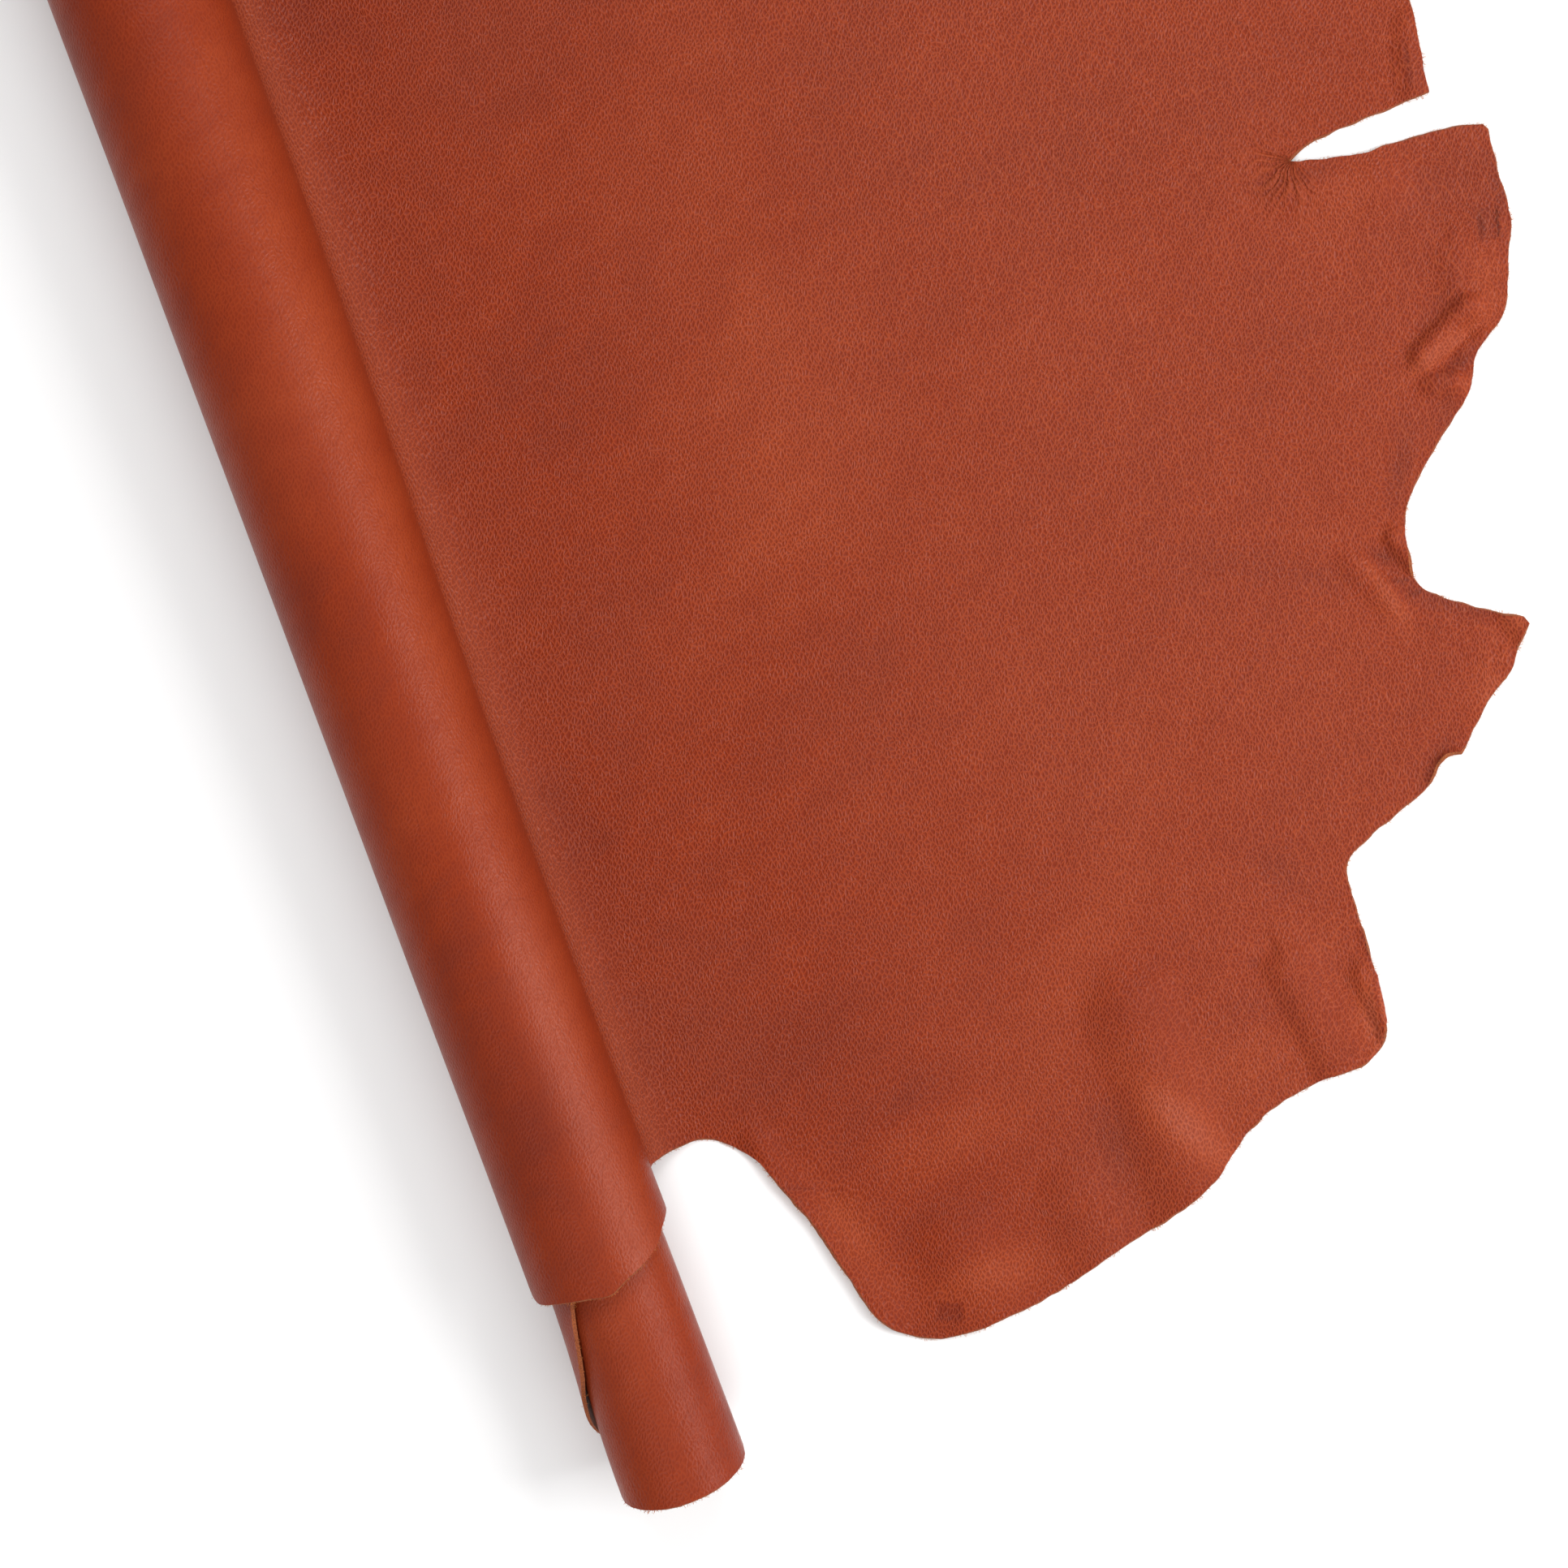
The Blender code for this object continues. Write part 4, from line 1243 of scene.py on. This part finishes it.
def build_fibres(sizes):
    """Loose fibres along the cut, as one mesh that stays above the floor."""
    roots, out, share = fibre_roots(sizes.spacing / MM)
    mesh = bpy.data.meshes.new("Cut_edge_fibres")
    mesh.from_pydata(to_model(roots).tolist(), [], [])
    outward = mesh.attributes.new("Outward", "FLOAT_VECTOR", "POINT")
    outward.data.foreach_set("vector", out.astype(np.float32).ravel())
    store(mesh, "Share", share)
    fibres = new_object("Cut_edge_fibres", mesh)
    maker = fibres.modifiers.new("Fibres", "NODES")
    maker.node_group = fibre_tree()
    values = {name.title(): getattr(sizes, name) for name in ("length", "radius", "curl", "spread", "seed")}
    values["Material"] = new_material("Loose fibres", fibre_surface)
    for item in maker.node_group.interface.items_tree:
        if item.item_type == "SOCKET" and item.in_out == "INPUT" and item.name in values:
            maker[item.identifier] = values[item.name]
    fibres = applied(fibres)
    ends = points_of(fibres.data)
    ends[:, 2] = np.maximum(ends[:, 2], 0.0)
    fibres.data.vertices.foreach_set("co", ends.ravel())
    return fibres


# ---- stage

CAMERA_TURN = math.radians(-20.5)
FRAME_WIDTH = 0.966
SENSOR = 36.0

# Soft boxes round the hide: name, heading from the camera's right, height over the floor as an
# angle, distance, width, height, and which of the studio's powers feeds it.
LAMPS = (
    ("Key", 6.0, 40.0, 3.1, 1.9, 1.5, "key"),
    ("Upper fill", 98.0, 50.0, 3.2, 2.4, 1.8, "upper"),
    ("Lower fill", -98.0, 50.0, 3.2, 2.4, 1.8, "lower"),
)


def build_stage(studio):
    """Floor, camera and lamps. The camera looks straight down at the bench's origin."""
    look_at = Vector(to_model((0.0, 0.0, 0.0)))
    half = studio.floor_width / 2
    corners = [(-half, -half, 0), (half, -half, 0), (half, half, 0), (-half, half, 0)]
    mesh = bpy.data.meshes.new("Studio_floor")
    mesh.from_pydata(corners, [], [(0, 1, 2, 3)])
    mesh.materials.append(new_material("Matt white floor", floor_surface))
    floor = new_object("Studio_floor", mesh)

    camera = bpy.data.cameras.new("Camera")
    camera.sensor_width = SENSOR
    camera.lens = SENSOR * studio.camera_height / FRAME_WIDTH
    camera.clip_end = 50.0
    eye = new_object("Camera", camera)
    eye.location = (look_at.x, look_at.y, studio.camera_height)
    eye.rotation_euler = (0.0, 0.0, CAMERA_TURN)
    bpy.context.scene.camera = eye

    for name, heading, up, away, width, height, power in LAMPS:
        heading = math.radians(heading) + CAMERA_TURN
        up = math.radians(up)
        lamp = bpy.data.lights.new(name, "AREA")
        lamp.shape = "RECTANGLE"
        lamp.size, lamp.size_y = width, height
        lamp.energy = getattr(studio, power)
        to_lamp = Vector((math.cos(heading) * math.cos(up), math.sin(heading) * math.cos(up), math.sin(up)))
        box = new_object(name, lamp)
        box.location = look_at + to_lamp * away
        box.rotation_euler = to_lamp.to_track_quat("Z", "Y").to_euler()

    world = bpy.data.worlds.new("Studio")
    world.use_nodes = True
    sky = world.node_tree.nodes["Background"]
    sky.inputs["Color"].default_value = (1.0, 1.0, 1.0, 1.0)
    sky.inputs["Strength"].default_value = studio.sky
    bpy.context.scene.world = world
    bpy.context.scene.view_settings.view_transform = "Standard"


# ---- add-on


def colour_property(name, description, hex_colour):
    return FloatVectorProperty(
        name=name,
        description=description,
        subtype="COLOR",
        size=4,
        min=0.0,
        max=1.0,
        default=linear(hex_colour),
    )


def length_property(name, description, default):
    return FloatProperty(name=name, description=description, unit="LENGTH", min=0.0, default=default)


class HideSizes(bpy.types.PropertyGroup):
    leather: length_property("Leather", "Thickness of the leather", LEATHER * MM)
    spacing: length_property("Fibre spacing", "Distance between loose fibres along the cut", 0.0005)
    length: length_property("Fibre length", "Length of the longest loose fibres", 0.0032)
    radius: length_property("Fibre radius", "Radius of a loose fibre at its root", 0.00015)
    curl: FloatProperty(name="Curl", description="How far a fibre's tip bends aside", default=0.5)
    spread: FloatProperty(
        name="Spread", description="Largest tilt of a fibre off the edge", unit="ROTATION", default=0.75
    )
    seed: IntProperty(name="Seed", description="Seed of the fibres' tilts", default=7)


class HideColours(bpy.types.PropertyGroup):
    middle: colour_property("Dye", "Rust brown of most of the grain", "#832d13")
    # Also the colour of painted shade.
    deep_dye_and_shade: colour_property("Deep dye and painted shade", "Burgundy brown where the dye lies deepest", "#662317")
    # Also the colour of painted highlights.
    light: colour_property("Light dye and painted highlight", "Orange where the dye lies thin", "#973e1f")
    # Dye gathered in the grain's hollows, and painted shade there.
    crease: colour_property("Hollows", "Dye gathered in the hollows of the grain", "#6a2213")
    # Worn dye and painted highlight on the ridges.
    wear_and_highlight: colour_property("Worn ridges and painted highlight", "Orange where handling has worn the ridges", "#b4552c")
    # Colour of painted highlights and of the painted sheen.
    painted_sheen: colour_property("Rubbed grain", "Paler dye where the finish is rubbed thin", "#9c4a33")
    # Also the colour of the deepest painted shade.
    pressed_and_deep_shade: colour_property("Pressed marks and deepest shade", "Leather burnished dark where a clamp bit", "#35130b")
    # Also paints a sheen that grows towards the tail and flank.
    belly: colour_property("Belly grain and painted sheen", "Duller, drier dye of the loose belly grain", "#8f3f2a")
    flesh: colour_property("Flesh side", "Suede of the flesh side", "#b5734a")
    flesh_deep: colour_property("Flesh side shade", "Darker nap of the flesh side", "#86492c")
    edge: colour_property("Raw edge", "Fibres of the cut edge", "#a9592a")
    edge_deep: colour_property("Raw edge shade", "Hollows of the cut edge", "#5f2a15")
    fibre: colour_property("Fibres", "Loose fibres along the cut", "#b8672c")


class HideStudio(bpy.types.PropertyGroup):
    floor: colour_property("Floor", "Matt studio floor", "#f4f4f4")
    floor_width: length_property("Floor width", "Side of the square floor", 9.0)
    camera_height: length_property("Camera height", "Height of the camera over the floor", 3.0)
    key: FloatProperty(name="Key light", description="Soft box at the right", unit="POWER", default=78)
    upper: FloatProperty(name="Upper fill", description="Soft box at the top", unit="POWER", default=45)
    lower: FloatProperty(name="Lower fill", description="Soft box at the bottom", unit="POWER", default=41)
    sky: FloatProperty(name="Room light", description="Strength of the white surroundings", default=0.38)


class LEATHER_OT_stage(bpy.types.Operator):
    """Add the floor, the camera and the studio lights"""

    bl_idname = "leather.stage"
    bl_label = "Studio"

    def execute(self, context):
        build_stage(context.scene.hide_studio)
        return {"FINISHED"}


class LEATHER_OT_hide(bpy.types.Operator):
    """Build the sheet of leather, laid out and rolled up, and dress its grain, flesh side and cut"""

    bl_idname = "leather.hide"
    bl_label = "Hide"

    def execute(self, context):
        hide = build_hide(context.scene.hide_sizes.leather)
        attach(hide, "root")
        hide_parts(HIDE)
        return {"FINISHED"}


class LEATHER_OT_fibres(bpy.types.Operator):
    bl_idname = "leather.fibres"
    bl_label = "Cut edge fibres"

    def execute(self, context):
        hide = context.scene.objects.get("Leather_hide")
        if hide is None:
            raise RuntimeError("build the hide before its fibres")
        fibres = build_fibres(context.scene.hide_sizes)
        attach(fibres, "root")
        width, length, area = flat_size()
        return {"FINISHED"}


def flat_size():
    """Width, length and area of the cut hide, in metres."""
    points, _, _, faces, edges = pattern()
    low, high = points.min(axis=0), points.max(axis=0)
    ring = np.concatenate([edges["belly"][::-1][:-1], edges["flat"], edges["backbone"]])
    x, y = points[ring].T
    area = abs(np.dot(x, np.roll(y, -1)) - np.dot(y, np.roll(x, -1))) / 2
    width, length = (high - low)[::-1] * MM
    return width, length, area * MM * MM


class LEATHER_PT_panel(bpy.types.Panel):
    bl_label = "Leather Hide"
    bl_space_type = "VIEW_3D"
    bl_region_type = "UI"
    bl_category = "Leather"

    def draw(self, context):
        for operator in OPERATORS:
            self.layout.operator(operator.bl_idname)
        for group in (context.scene.hide_sizes, context.scene.hide_colours, context.scene.hide_studio):
            for name in group.__annotations__:
                self.layout.prop(group, name)


OPERATORS = (LEATHER_OT_stage, LEATHER_OT_hide, LEATHER_OT_fibres)
CLASSES = (HideSizes, HideColours, HideStudio, *OPERATORS, LEATHER_PT_panel)


def register():
    for cls in CLASSES:
        bpy.utils.register_class(cls)
    bpy.types.Scene.hide_sizes = PointerProperty(type=HideSizes)
    bpy.types.Scene.hide_colours = PointerProperty(type=HideColours)
    bpy.types.Scene.hide_studio = PointerProperty(type=HideStudio)


def unregister():
    del bpy.types.Scene.hide_sizes, bpy.types.Scene.hide_colours, bpy.types.Scene.hide_studio
    for cls in reversed(CLASSES):
        bpy.utils.unregister_class(cls)


def main():
    register()
    bpy.ops.leather.stage()
    bpy.ops.leather.hide()
    bpy.ops.leather.fibres()


if __name__ == "__main__":
    main()
